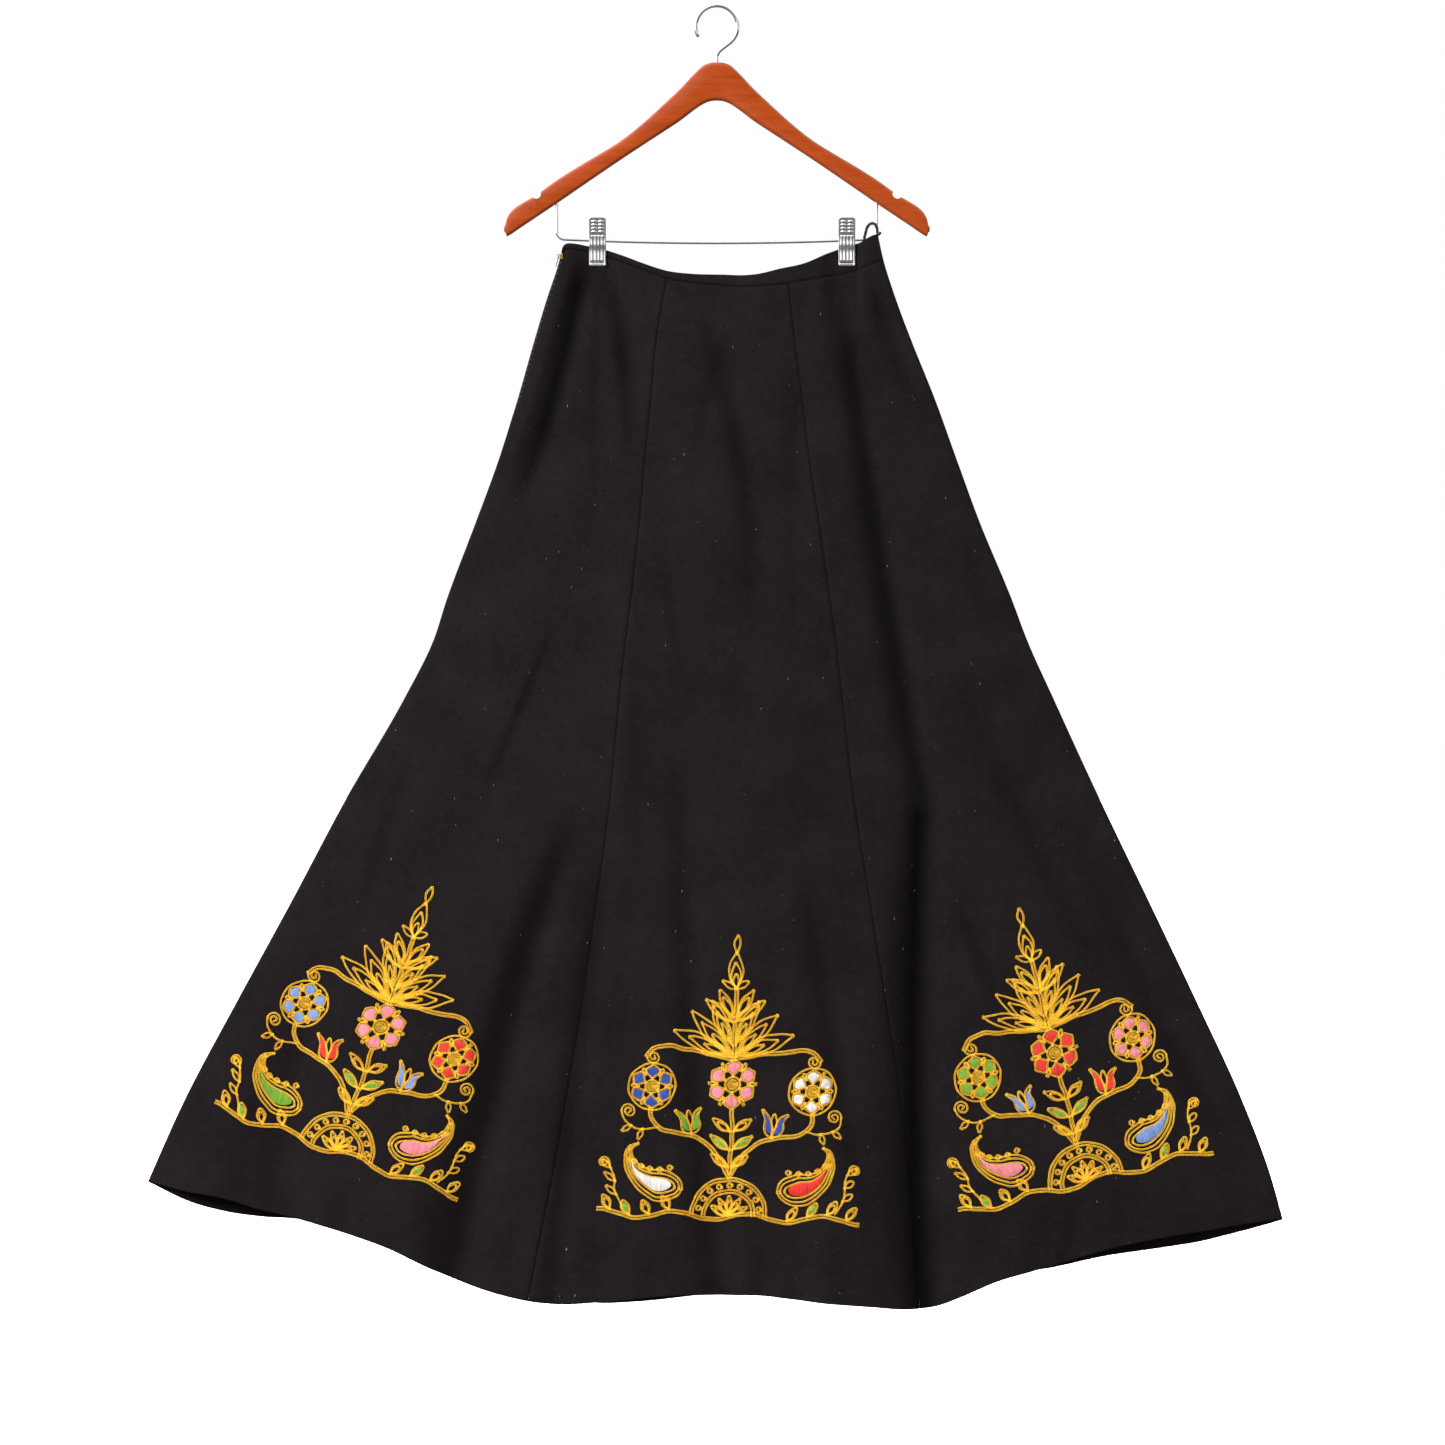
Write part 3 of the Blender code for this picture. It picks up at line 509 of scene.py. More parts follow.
def addMesh(name, points, faces, material, sharp=None):
    mesh = bpy.data.meshes.new(name)
    mesh.from_pydata([tuple(p) for p in points], [], [tuple(int(i) for i in f) for f in faces])
    work = bmesh.new()
    work.from_mesh(mesh)
    bmesh.ops.recalc_face_normals(work, faces=work.faces)
    work.to_mesh(mesh)
    work.free()
    mesh.shade_smooth()
    if sharp is not None:
        mesh.set_sharp_from_angle(angle=math.radians(sharp))
    mesh.materials.append(material)
    made = bpy.data.objects.new(name, mesh)
    bpy.context.collection.objects.link(made)
    return made


def gridFaces(index, closed=False):
    a, b = index, np.roll(index, -1, axis=0)
    if not closed:
        a, b = index[:-1], index[1:]
    return np.stack([a[:, :-1], b[:, :-1], b[:, 1:], a[:, 1:]], axis=-1).reshape(-1, 4)


def wallParts(outer, inner):
    # a closed wall between two grids of points of the same size
    columns, rows = outer.shape[:2]
    index = np.arange(2 * columns * rows).reshape(2, columns, rows)
    rim = [(i, 0) for i in range(columns)]
    rim += [(columns - 1, j) for j in range(1, rows)]
    rim += [(i, rows - 1) for i in range(columns - 2, -1, -1)]
    rim += [(0, j) for j in range(rows - 2, 0, -1)]
    edge = [(index[0][a], index[0][b], index[1][b], index[1][a]) for a, b in zip(rim, rim[1:] + rim[:1])]
    return (np.concatenate([outer.reshape(-1, 3), inner.reshape(-1, 3)]),
            [*gridFaces(index[0]), *gridFaces(index[1]), *edge])


def loftParts(rings):
    # a closed solid through rings of x, y and drop, with as many points in each
    count, around = rings.shape[:2]
    index = np.arange(count * around).reshape(count, around)
    return (rings.reshape(-1, 3) * (mm, mm, -mm),
            [tuple(index[0]), tuple(index[-1]), *gridFaces(index.T, closed=True)])


def roundParts(rings):
    # a closed band: the rings turn about an axis, and the last one meets the first
    count, around = rings.shape[:2]
    index = np.arange(count * around).reshape(count, around).T
    return rings.reshape(-1, 3) * (mm, mm, -mm), gridFaces(np.concatenate([index, index[:, :1]], axis=1), closed=True)


def joined(*parts):
    points, faces, start = [], [], 0
    for own, sides in parts:
        points.append(own)
        faces += [tuple(int(i) + start for i in side) for side in sides]
        start += len(own)
    return np.concatenate(points), faces


def tubeRings(path, half, sides, tips=(0, 0)):
    # rings along a path of x, y and drop; `half` is across and deep, `tips` how far the ends round out
    path = np.array(path, float)
    along = np.gradient(path, axis=0)
    along /= np.linalg.norm(along, axis=1)[:, None]
    turn = np.arange(sides)[:, None] * 2 * np.pi / sides
    deep, rings = np.array([0.0, 1.0, 0.0]), []
    for middle, ahead in zip(path, along):
        deep = deep - (deep @ ahead) * ahead
        deep /= np.linalg.norm(deep)
        rings.append(middle + half[1] * np.cos(turn) * deep + half[0] * np.sin(turn) * np.cross(ahead, deep))

    def tip(ring, middle, out):
        return [middle + (ring - middle) * math.cos(a) + out * math.sin(a) for a in np.radians((20, 40, 60, 80))]

    first = tip(rings[0], path[0], -along[0] * tips[0])[::-1] if tips[0] else []
    last = tip(rings[-1], path[-1], along[-1] * tips[1]) if tips[1] else []
    return np.array(first + rings + last)


def cutAway(piece, tools, sharp):
    for tool in tools:
        cut = piece.modifiers.new(tool.name, "BOOLEAN")
        cut.operation, cut.solver, cut.object = "DIFFERENCE", "EXACT", tool
    ready = piece.evaluated_get(bpy.context.evaluated_depsgraph_get())
    mesh = bpy.data.meshes.new_from_object(ready)
    piece.modifiers.clear()
    piece.data = mesh
    mesh.set_sharp_from_angle(angle=math.radians(sharp))
    for tool in tools:
        bpy.data.objects.remove(tool)


def settle(piece, body, *nodes, slot=None):
    # the piece moves with a body, and stands for the solids named
    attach(piece, body)
    if nodes:
        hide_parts(*nodes)
    return piece


# Cloth panels

panelMesh = {
    "front": {"columns": 74, "rows": 190},
    "back": {"columns": 44, "rows": 120},
    "rowBias": 1.15,
    "seamSteps": (0, 0.4, 1.0, 1.8, 3.0),  # columns beside a seam
    "hemSteps": (0, 0.2, 0.6, 1.2, 2.4),
}
spans = {
    "left": ("leftSide", "leftSeam"),
    "centre": ("leftSeam", "rightSeam"),
    "right": ("rightSeam", "rightSide"),
}
# the flat cut of each gore: its width at the hem and its length, and its area in square metres
cuts = {
    "left": ((0.455, 1.130), 0.300),
    "centre": ((0.410, 1.085), 0.280),
    "right": ((0.425, 1.130), 0.285),
}


def spacing(count, steps, bias=1.0):
    # shares of the way, and fixed offsets for the close steps at both ends
    share = (np.arange(count + 1) / count) ** bias
    near = np.array(steps[:-1], float)
    inner = steps[-1]
    return (np.concatenate([0 * near, share, 0 * near + 1]),
            np.concatenate([near, inner * (1 - 2 * share), -near[::-1]]))


def columnX(left, right, columns, drop, inset):
    start = seamX(left, drop) + inset(drop)
    end = seamX(right, drop) - cloth["seamGap"] / 2
    return start + (end - start) * columns[0] + columns[1]


def panelGrid(left, right, columns, rows, top, low, inset):
    ends = []
    for line in (top, low):
        drop = line(np.zeros_like(columns[0]))
        for _ in range(12):
            drop = line(columnX(left, right, columns, drop, inset))
        ends.append(drop)
    drop = ends[0][:, None] + (ends[1] - ends[0])[:, None] * rows[0] + rows[1]
    x = columnX(left, right, (columns[0][:, None], columns[1][:, None]), drop, inset)
    return x, drop, ends


def plainInset(drop):
    return cloth["seamGap"] / 2


def slitInset(drop):
    return cloth["seamGap"] / 2 + cloth["zipSlit"] * (1 - ease(drop, *cloth["zipSlitDrops"]))


def dipAt(distance, dip):
    return dip[0] * np.exp(-((distance / dip[1]) ** 2))


def wallFaces(side, x, drop, edges, rounded):
    # the outer and inner faces, drawn in at the seams and round along the free edges
    _, frontFace, backFace = layers(x, drop)
    sign, inner = (-1, frontFace) if side == "front" else (1, backFace)
    wall = cloth["wall"] - sum(dipAt(distance, dip) for distance, dip in edges)
    wall = np.maximum(wall, 0.5)
    outer = inner + sign * wall
    for distance in rounded:
        near = np.clip(distance / (cloth["wall"] * 0.6), 0, 1)
        full = np.sqrt(np.clip(1 - (1 - near) ** 2, 0.08, 1))
        middle = (outer + inner) / 2
        outer, inner = middle + (outer - middle) * full, middle + (inner - middle) * full
    return stacked(x, outer, drop), stacked(x, inner, drop)


# painted shade: dark lines along the seams, where the cloth dips in
def paintedSeamShade(paintedShade, edges):
    shade, reach = cloth["paintedSeamShade"]
    return np.maximum(paintedShade, shade * np.exp(-(np.min([far for far, _ in edges], axis=0) / reach) ** 2))


def addPaintedShade(piece, paintedShade):
    # both faces of a wall carry the painted shade of its troughs and seams
    values = np.tile(paintedShade.ravel(), 2).astype(np.float32)
    piece.data.attributes.new("paintedShade", "FLOAT", "POINT").data.foreach_set("value", values)


def makeGores(wool):
    for side in ("front", "back"):
        size = panelMesh[side]
        columns = spacing(size["columns"], panelMesh["seamSteps"])
        rows = spacing(size["rows"], panelMesh["hemSteps"], panelMesh["rowBias"])
        for place, (left, right) in spans.items():
            inset = slitInset if (side, place) == ("front", "left") else plainInset
            x, drop, ends = panelGrid(left, right, columns, rows, lambda at: waistSeam(at) + cloth["seamGap"],
                                      lambda at: hemDrop(side, at), inset)
            dips = {name: cloth["sideDip" if name.endswith("Side") else "seamDip"] for name in (left, right)}
            edges = [(x - x[:1], dips[left]), (x[-1:] - x, dips[right]),
                     (drop - ends[0][:, None], cloth["seamDip"])]
            outer, inner = wallFaces(side, x, drop, edges, [ends[1][:, None] - drop])
            gore = addMesh(f"{side}{place.title()}Gore", *wallParts(outer, inner), wool, 60)
            # painted shade in the troughs and along the seams
            addPaintedShade(gore, paintedSeamShade(paintedShadeAt(side, x, drop), edges))
            settle(gore, "skirt", f"{side}_{place}_gore", slot="wool")
            flat, area = cuts[place]


bandMesh = {"columns": 190, "rows": 8, "steps": (0, 0.35, 0.9, 1.6), "cut": (0.352, 0.028), "area": 0.0038}


def makeWaistband(wool):
    columns = spacing(bandMesh["columns"], bandMesh["steps"])
    rows = spacing(bandMesh["rows"], bandMesh["steps"])
    for side in ("front", "back"):
        x, drop, ends = panelGrid("leftSide", "rightSide", columns, rows, waistTop, waistSeam, plainInset)
        edges = [(ends[1][:, None] - drop, cloth["seamDip"])]
        rounded = [drop - ends[0][:, None], x - x[:1], x[-1:] - x]
        outer, inner = wallFaces(side, x, drop, edges, rounded)
        band = addMesh(f"waistband{side.title()}", *wallParts(outer, inner), wool, 60)
        # painted shade along the band's lower seam
        addPaintedShade(band, paintedSeamShade(0 * x, edges))
        settle(band, "skirt", f"waistband_{side}", slot="wool")


# Embroidery: a flowering spray in gold chain stitch and coloured satin stitch, three times

stitch = {
    "pitch": 2.9,  # one chain stitch
    "long": 3.5,
    "wide": 1.45,
    "yarn": 0.33,
    "lift": 0.42,
    "satinPitch": 0.6,
    "satinYarn": 0.37,
    "satinLift": 0.75,
    "seed": 7,
}
dyes = {
    "lightBlue": (0.165, 0.255, 0.500),
    "darkBlue": (0.020, 0.055, 0.290),
    "red": (0.600, 0.026, 0.018),
    "green": (0.150, 0.310, 0.022),
    "pink": (0.680, 0.215, 0.255),
    "white": (0.640, 0.620, 0.580),
}
# where the middle of each spray's foot lies, how far it leans to the right, and its dyes
sprays = {
    "left": {"x": -402.4, "drop": 1209.0, "lean": 20.0, "leftFlower": "lightBlue", "rightFlower": "red",
             "middleFlower": "pink", "leftPlume": "green", "rightPlume": "pink", "leftTulip": "red",
             "rightTulip": "lightBlue", "leaf": "green"},
    "centre": {"x": 11.6, "drop": 1277.0, "lean": 2.0, "leftFlower": "darkBlue", "rightFlower": "white",
               "middleFlower": "pink", "leftPlume": "white", "rightPlume": "red", "leftTulip": "green",
               "rightTulip": "darkBlue", "leaf": "green"},
    "right": {"x": 389.2, "drop": 1241.0, "lean": -14.0, "leftFlower": "green", "rightFlower": "pink",
              "middleFlower": "red", "leftPlume": "pink", "rightPlume": "lightBlue", "leftTulip": "lightBlue",
              "rightTulip": "red", "leaf": "green"},
}


def heading(angle):
    return np.array([math.cos(angle), math.sin(angle)])


def curveThrough(points):
    # a smooth line through a few points
    p = np.array(points, float)
    along = np.concatenate([[0], np.cumsum(np.linalg.norm(np.diff(p, axis=0), axis=1))])
    at = np.linspace(0, along[-1], max(8, int(along[-1] / 1.5)))
    return np.stack([smooth(at, along, p[:, k]) for k in (0, 1)], axis=1)


def ringLine(centre, radius):
    turn = np.linspace(0, 2 * np.pi, max(9, int(radius * 4)))
    return np.array(centre) + radius * np.stack([np.cos(turn), np.sin(turn)], axis=1)


def coilLine(centre, radius, start, turns):
    # winds in from `start` radians; positive turns run anticlockwise
    t = np.linspace(0, 1, 40)
    turn = start + 2 * np.pi * turns * t
    size = radius * (1 - 0.82 * t)
    return np.array(centre) + size[:, None] * np.stack([np.cos(turn), np.sin(turn)], axis=1)


def loopLine(base, angle, length, width, fat=1.0):
    # a closed leaf or petal; `fat` over 1 puts its widest place nearer the tip
    t = np.linspace(0, 1, max(8, int(length / 1.6)))
    half = width / 2 * np.sin(np.pi * t**fat)
    out, side = heading(angle), heading(angle + np.pi / 2)
    there = np.array(base) + length * t[:, None] * out
    return np.concatenate([there + half[:, None] * side, (there - half[:, None] * side)[::-1]])


def sideBySide(line, gap):
    along = np.gradient(line, axis=0)
    along /= np.linalg.norm(along, axis=1)[:, None]
    aside = np.stack([-along[:, 1], along[:, 0]], axis=1) * gap / 2
    return [line + aside, line - aside]


def partOf(line, start, end):
    return line[int(len(line) * start):int(len(line) * end)]


def plumeLine(spine, width):
    # a closed comma about a spine, round at its head and drawn out to a point
    t = np.linspace(0, 1, len(spine))
    head = np.sqrt(np.clip(1 - ((0.3 - t) / 0.3) ** 2, 0, 1))
    half = width / 2 * np.where(t < 0.3, head, np.clip(1 - (t - 0.3) / 0.7, 0, 1) ** 1.15)
    aside = (sideBySide(spine, 2.0)[0] - spine) * half[:, None]
    return np.concatenate([spine + aside, (spine - aside)[::-1], (spine + aside)[:1]])


def insideOf(outline, share):
    middle = outline.mean(axis=0)
    return middle + (outline - middle) * share


def addLeaf(gold, fills, base, angle, length, width, nested=2, dye=None):
    for k in range(nested):
        share = 1 - 0.33 * k
        gold.append(loopLine(base + 0.07 * k * length * heading(angle), angle, length * share, width * share))
    if dye:
        fills.append((insideOf(loopLine(base, angle, length, width), 0.72), dye, angle + 0.9))


def addFlower(gold, fills, centre, radius, dye, turn):
    petals = 6
    for k in range(petals):
        angle = turn + k * 2 * np.pi / petals
        petal = loopLine(centre + 0.36 * radius * heading(angle), angle, 0.66 * radius, 0.66 * radius, 1.35)
        gold.append(petal)
        fills.append((insideOf(petal, 0.80), dye, angle))
        between = angle + np.pi / petals
        gold.append(loopLine(centre + 0.66 * radius * heading(between), between, 0.34 * radius, 0.13 * radius))
    for share in (0.08, 0.19, 0.31):
        gold.append(ringLine(centre, share * radius))


def addTulip(gold, fills, base, angle, size, dye):
    out, side = heading(angle), heading(angle + np.pi / 2)
    cup = [(0, 0), (0.10, 0.26), (0.40, 0.40), (0.72, 0.38), (1.08, 0.56), (0.86, 0.24), (0.62, 0.12), (0.24, 0.04), (0, 0)]
    for flip in (-1, 1):
        petal = curveThrough([base + size * (a * out + flip * b * side) for a, b in cup])
        gold.append(petal)
        fills.append((insideOf(petal, 0.74), dye, angle + flip * 0.5))
    gold.append(loopLine(base + 0.3 * size * out, angle, 0.72 * size, 0.24 * size))


def drawSpray(look):
    # lines for chain stitch, and outlines with their dye and thread direction for satin stitch
    gold, fills = [], []

    # the garland at the foot, with its leaves and curled ends
    foot = np.linspace(-136, 136, 120)
    garland = np.stack([foot, 7 + 3.5 * np.sin(foot / 136 * 3.5 * np.pi)], axis=1)
    gold += sideBySide(garland, 2.8)
    for k in range(13):
        u = -124 + k * 124 / 6
        if abs(u) < 44:
            continue
        at = np.array([u, np.interp(u, garland[:, 0], garland[:, 1]) + 2])
        lean = math.radians(90 - 32 * np.sign(u))
        addLeaf(gold, fills, at, lean, 17, 8.5, 2, look["leaf"] if k % 3 == 1 else None)

    # the mound under the trunk: two pairs of arches with beads between them, round a fan of leaves
    turn = np.linspace(0.02, np.pi - 0.02, 60)
    for radius in (40, 37, 27.5, 24.5):
        gold.append(np.array([0, 8]) + radius * np.stack([np.cos(turn), np.sin(turn)], axis=1))
    for k in range(9):
        bead = np.array([0, 8]) + 32.3 * heading(math.radians(12 + 19.5 * k))
        gold.append(ringLine(bead, 2.4))
    for angle in (24, 57, 90, 123, 156):
        addLeaf(gold, fills, np.array([0, 9]), math.radians(angle), 21, 7, 2)

    # the trunk, in three stretches
    for low, high in ((48, 119), (172, 248)):
        gold += sideBySide(curveThrough([(0, low), (0.8, (low + high) / 2), (0, high)]), 2.8)

    # big plumes beside the mound
    for flip, dye in ((-1, look["leftPlume"]), (1, look["rightPlume"])):
        spine = curveThrough([(flip * u, v) for u, v in (
            (50, 34), (60, 36), (74, 38), (88, 43), (99, 52), (105, 64), (104, 76), (96, 82))])
        gold.append(plumeLine(spine, 33))
        gold.append(plumeLine(partOf(spine, 0.05, 0.9), 25))
        core = plumeLine(partOf(spine, 0.1, 0.78), 16)
        gold.append(core)
        fills.append((insideOf(core, 0.86), dye, math.radians(90)))
        for k in range(5):
            # beads over the plume's back
            at = spine[int(len(spine) * (0.14 + 0.12 * k))] + np.array([0, 19.5 - 2.6 * k])
            gold.append(ringLine(at, 2.2))

        # a stalk of leaves outside it
        stalk = curveThrough([(flip * u, v) for u, v in ((112, 14), (120, 30), (121, 46), (126, 58))])
        gold.append(stalk)
        gold.append(coilLine((flip * 131.5, 59), 6.0, math.pi if flip > 0 else 0, -flip * 1.6))
        for share in (0.3, 0.6, 0.9):
            at = stalk[int((len(stalk) - 1) * share)]
            addLeaf(gold, fills, at, math.radians(90 - flip * 52), 13, 5.5, 1)

    # leaves up the trunk
    for v, length in ((60, 21), (78, 24), (97, 22)):
        for flip in (-1, 1):
            angle = math.radians(90 - flip * 56)
            addLeaf(gold, fills, np.array([flip * 2.0, v]), angle, length, 8.5, 2, look["leaf"] if v == 78 else None)

    # side branches, each with a tulip, a coil and a flower at its end
    for flip, dye, tulip in ((-1, look["leftFlower"], look["leftTulip"]),
                             (1, look["rightFlower"], look["rightTulip"])):
        branch = curveThrough([(flip * u, v) for u, v in (
            (2, 52), (14, 72), (32, 86), (54, 92), (74, 97), (84, 108), (85, 118))])
        gold += sideBySide(branch, 2.8)
        addFlower(gold, fills, np.array([flip * 84.0, 141.0]), 22, dye, math.radians(90))
        gold.append(ringLine((flip * 84.0, 141.0), 24.5))
        addTulip(gold, fills, np.array([flip * 42.0, 91.0]), math.radians(90 - flip * 8), 25, tulip)
        tendril = curveThrough([(flip * u, v) for u, v in ((78, 99), (92, 96), (104, 98), (113, 105), (115, 114))])
        gold.append(tendril)
        gold.append(coilLine((flip * 107.5, 114), 7.6, 0 if flip > 0 else math.pi, flip * 1.7))
        for share, lean in ((0.35, -70), (0.62, -35)):
            at = tendril[int((len(tendril) - 1) * share)]
            addLeaf(gold, fills, at, math.radians(90 - flip * (90 - lean)), 11, 5, 1)

    # the middle flower
    addFlower(gold, fills, np.array([0.0, 146.0]), 25, look["middleFlower"], math.radians(30))

    # the crown of long leaves, and scrolls under it
    for v, angle, length, width, nested in ((175, 22, 66, 17, 3), (178, 44, 60, 16, 3), (188, 63, 50, 13, 3),
                                            (212, 36, 36, 11, 2), (217, 60, 32, 10, 2)):
        for flip in (-1, 1):
            lean = math.radians(90 - flip * (90 - angle))
            addLeaf(gold, fills, np.array([flip * 2.0, v]), lean, length, width, nested)
    for flip in (-1, 1):
        scroll = curveThrough([(flip * u, v) for u, v in (
            (2, 173), (16, 175), (34, 178), (52, 180), (70, 184), (84, 181), (91, 173))])
        gold += sideBySide(scroll, 2.8)
        gold.append(coilLine((flip * 84.0, 172.0), 7.2, 0 if flip > 0 else math.pi, -flip * 1.6))

    # the bud at the top
    for share in (1.0, 0.7, 0.4):
        gold.append(loopLine((0, 247), math.radians(90), 38 * share, 15 * share, 0.9))
    gold.append(loopLine((0, 283), math.radians(90), 19, 6.5, 1.2))
    for flip in (-1, 1):
        addLeaf(gold, fills, np.array([0.0, 246.0]), math.radians(90 - flip * 60), 16, 6, 1)
    return gold, fills


def onSpray(look, points):
    # from a spray's own place to x and drop, a little uneven as hand work is
    u, v = points[..., 0], points[..., 1]
    u = u + 0.7 * np.sin(0.09 * v + look["x"]) + 0.3 * np.sin(0.31 * v + 1.3)
    v = v + 0.7 * np.sin(0.08 * u + look["x"]) + 0.3 * np.sin(0.27 * u)
    lean = math.radians(look["lean"])
    return (look["x"] + u * math.cos(lean) + v * math.sin(lean),
            look["drop"] + u * math.sin(lean) - v * math.cos(lean))


def satinRows(outline, angle):
    # the threads that fill an outline, side by side along a direction
    along, aside = heading(angle), heading(angle + np.pi / 2)
    a, b = outline @ along, outline @ aside
    rows = []
    for level in np.arange(b.min() + 0.3 * stitch["satinPitch"], b.max(), stitch["satinPitch"]):
        hits = []
        for i in range(len(a)):
            j = (i + 1) % len(a)
            if (b[i] - level) * (b[j] - level) < 0:
                hits.append(a[i] + (level - b[i]) / (b[j] - b[i]) * (a[j] - a[i]))
        hits.sort()
        rows += [(low * along + level * aside, high * along + level * aside)
                 for low, high in zip(hits[::2], hits[1::2]) if high - low > 0.8]
    return rows


def lineMesh(name, lines, outs=None, shades=None, dyeList=None):
    # a mesh of open lines, which carries what the stitches on it need
    mesh = bpy.data.meshes.new(name)
    starts = np.cumsum([0] + [len(line) for line in lines])
    edges = [(i, i + 1) for low, high in zip(starts[:-1], starts[1:]) for i in range(low, high - 1)]
    mesh.from_pydata([tuple(p) for p in np.concatenate(lines)], edges, [])
    counts = [len(line) for line in lines]
    for label, kind, values in (("out", "FLOAT_VECTOR", outs), ("shade", "FLOAT", shades),
                                ("dye", "FLOAT_COLOR", dyeList)):
        if values is None:
            continue
        values = np.concatenate(values) if label == "out" else np.repeat(np.array(values), counts, axis=0)
        attribute = mesh.attributes.new(label, kind, "POINT")
        attribute.data.foreach_set("color" if kind == "FLOAT_COLOR" else "vector" if kind == "FLOAT_VECTOR"
                                   else "value", values.astype(np.float32).ravel())
    made = bpy.data.objects.new(name, mesh)
    bpy.context.collection.objects.link(made)
    return made


def newTree(name, inputs):
    # an empty Geometry Nodes tree with named inputs
    tree = bpy.data.node_groups.new(name, "GeometryNodeTree")
    tree.interface.new_socket(name="Lines", in_out="INPUT", socket_type="NodeSocketGeometry")
    for label, kind in inputs.items():
        tree.interface.new_socket(name=label, in_out="INPUT", socket_type=kind)
    tree.interface.new_socket(name="Stitches", in_out="OUTPUT", socket_type="NodeSocketGeometry")
    return tree, tree.nodes.new("NodeGroupInput").outputs, tree.nodes.new("NodeGroupOutput").inputs


def makeChainTree():
    tree, given, result = newTree("chainStitch", {
        "Pitch": "NodeSocketFloat", "Long": "NodeSocketFloat", "Wide": "NodeSocketFloat",
        "Yarn": "NodeSocketFloat", "Lift": "NodeSocketFloat", "Seed": "NodeSocketInt", "Thread": "NodeSocketMaterial"})
    half = {label: addNode(tree, "ShaderNodeMath", {0: given[label], 1: 0.5}, operation="MULTIPLY").outputs[0]
            for label in ("Long", "Wide")}
    size = addNode(tree, "ShaderNodeCombineXYZ", {"X": half["Long"], "Y": half["Wide"], "Z": 1.0})
    high = addNode(tree, "ShaderNodeCombineXYZ", {"Z": given["Lift"]})
    oval = addNode(tree, "GeometryNodeCurvePrimitiveCircle", {"Resolution": 7, "Radius": 1.0})
    link = addNode(tree, "GeometryNodeTransform", {
        "Geometry": oval.outputs[0], "Scale": size.outputs[0], "Translation": high.outputs[0],
        "Rotation": (0, math.radians(-7), 0)})
    section = addNode(tree, "GeometryNodeCurvePrimitiveCircle", {"Resolution": 3, "Radius": given["Yarn"]})
    link = addNode(tree, "GeometryNodeCurveToMesh", {"Curve": link.outputs[0], "Profile Curve": section.outputs[0]})
    line = addNode(tree, "GeometryNodeMeshToCurve", {"Mesh": given["Lines"]})
    line = addNode(tree, "GeometryNodeResampleCurve", {"Curve": line.outputs[0], "Length": given["Pitch"]},
                   mode="LENGTH")
    out = addNode(tree, "GeometryNodeInputNamedAttribute", {"Name": "out"}, data_type="FLOAT_VECTOR")
    along = addNode(tree, "GeometryNodeInputTangent")
    turn = addNode(tree, "FunctionNodeAxesToRotation", {"Primary Axis": out.outputs[0],
                                                        "Secondary Axis": along.outputs[0]},
                   primary_axis="Z", secondary_axis="X")
    sizes = addNode(tree, "FunctionNodeRandomValue", {"Seed": given["Seed"]}, data_type="FLOAT_VECTOR")
    sizes.inputs[0].default_value = (0.9, 0.85, 0.85)
    sizes.inputs[1].default_value = (1.08, 1.12, 1.1)
    laid = addNode(tree, "GeometryNodeInstanceOnPoints", {
        "Points": line.outputs[0], "Instance": link.outputs[0], "Rotation": turn.outputs[0],
        "Scale": sizes.outputs[0]})
    chance = addNode(tree, "FunctionNodeRandomValue", {"Seed": given["Seed"]}, data_type="FLOAT")
    shade = addNode(tree, "GeometryNodeStoreNamedAttribute", {
        "Geometry": laid.outputs[0], "Name": "shade"}, data_type="FLOAT", domain="INSTANCE")
    tree.links.new(chance.outputs[1], shade.inputs["Value"])
    real = addNode(tree, "GeometryNodeRealizeInstances", {"Geometry": shade.outputs[0]})
    soft = addNode(tree, "GeometryNodeSetShadeSmooth", {"Geometry": real.outputs[0]})
    dressed = addNode(tree, "GeometryNodeSetMaterial", {"Geometry": soft.outputs[0], "Material": given["Thread"]})
    tree.links.new(dressed.outputs[0], result[0])
    return tree


def makeThreadTree():
    tree, given, result = newTree("satinStitch", {"Yarn": "NodeSocketFloat", "Thread": "NodeSocketMaterial"})
    line = addNode(tree, "GeometryNodeMeshToCurve", {"Mesh": given["Lines"]})
    section = addNode(tree, "GeometryNodeCurvePrimitiveCircle", {"Resolution": 4, "Radius": given["Yarn"]})
    strand = addNode(tree, "GeometryNodeCurveToMesh", {"Curve": line.outputs[0], "Profile Curve": section.outputs[0],
                                                       "Fill Caps": True})
    real = addNode(tree, "GeometryNodeRealizeInstances", {"Geometry": strand.outputs[0]})
    soft = addNode(tree, "GeometryNodeSetShadeSmooth", {"Geometry": real.outputs[0]})
    dressed = addNode(tree, "GeometryNodeSetMaterial", {"Geometry": soft.outputs[0], "Material": given["Thread"]})
    tree.links.new(dressed.outputs[0], result[0])
    return tree


def grow(lines, tree, name, **values):
    # what a tree makes of some lines, as a plain mesh
    modifier = lines.modifiers.new("stitches", "NODES")
    modifier.node_group = tree
    for item in tree.interface.items_tree:
        if item.in_out == "INPUT" and item.name in values:
            modifier[item.identifier] = values[item.name]
    ready = lines.evaluated_get(bpy.context.evaluated_depsgraph_get())
    mesh = bpy.data.meshes.new_from_object(ready)
    mesh.name = name
    bpy.data.objects.remove(lines)
    made = bpy.data.objects.new(name, mesh)
    bpy.context.collection.objects.link(made)
    return made


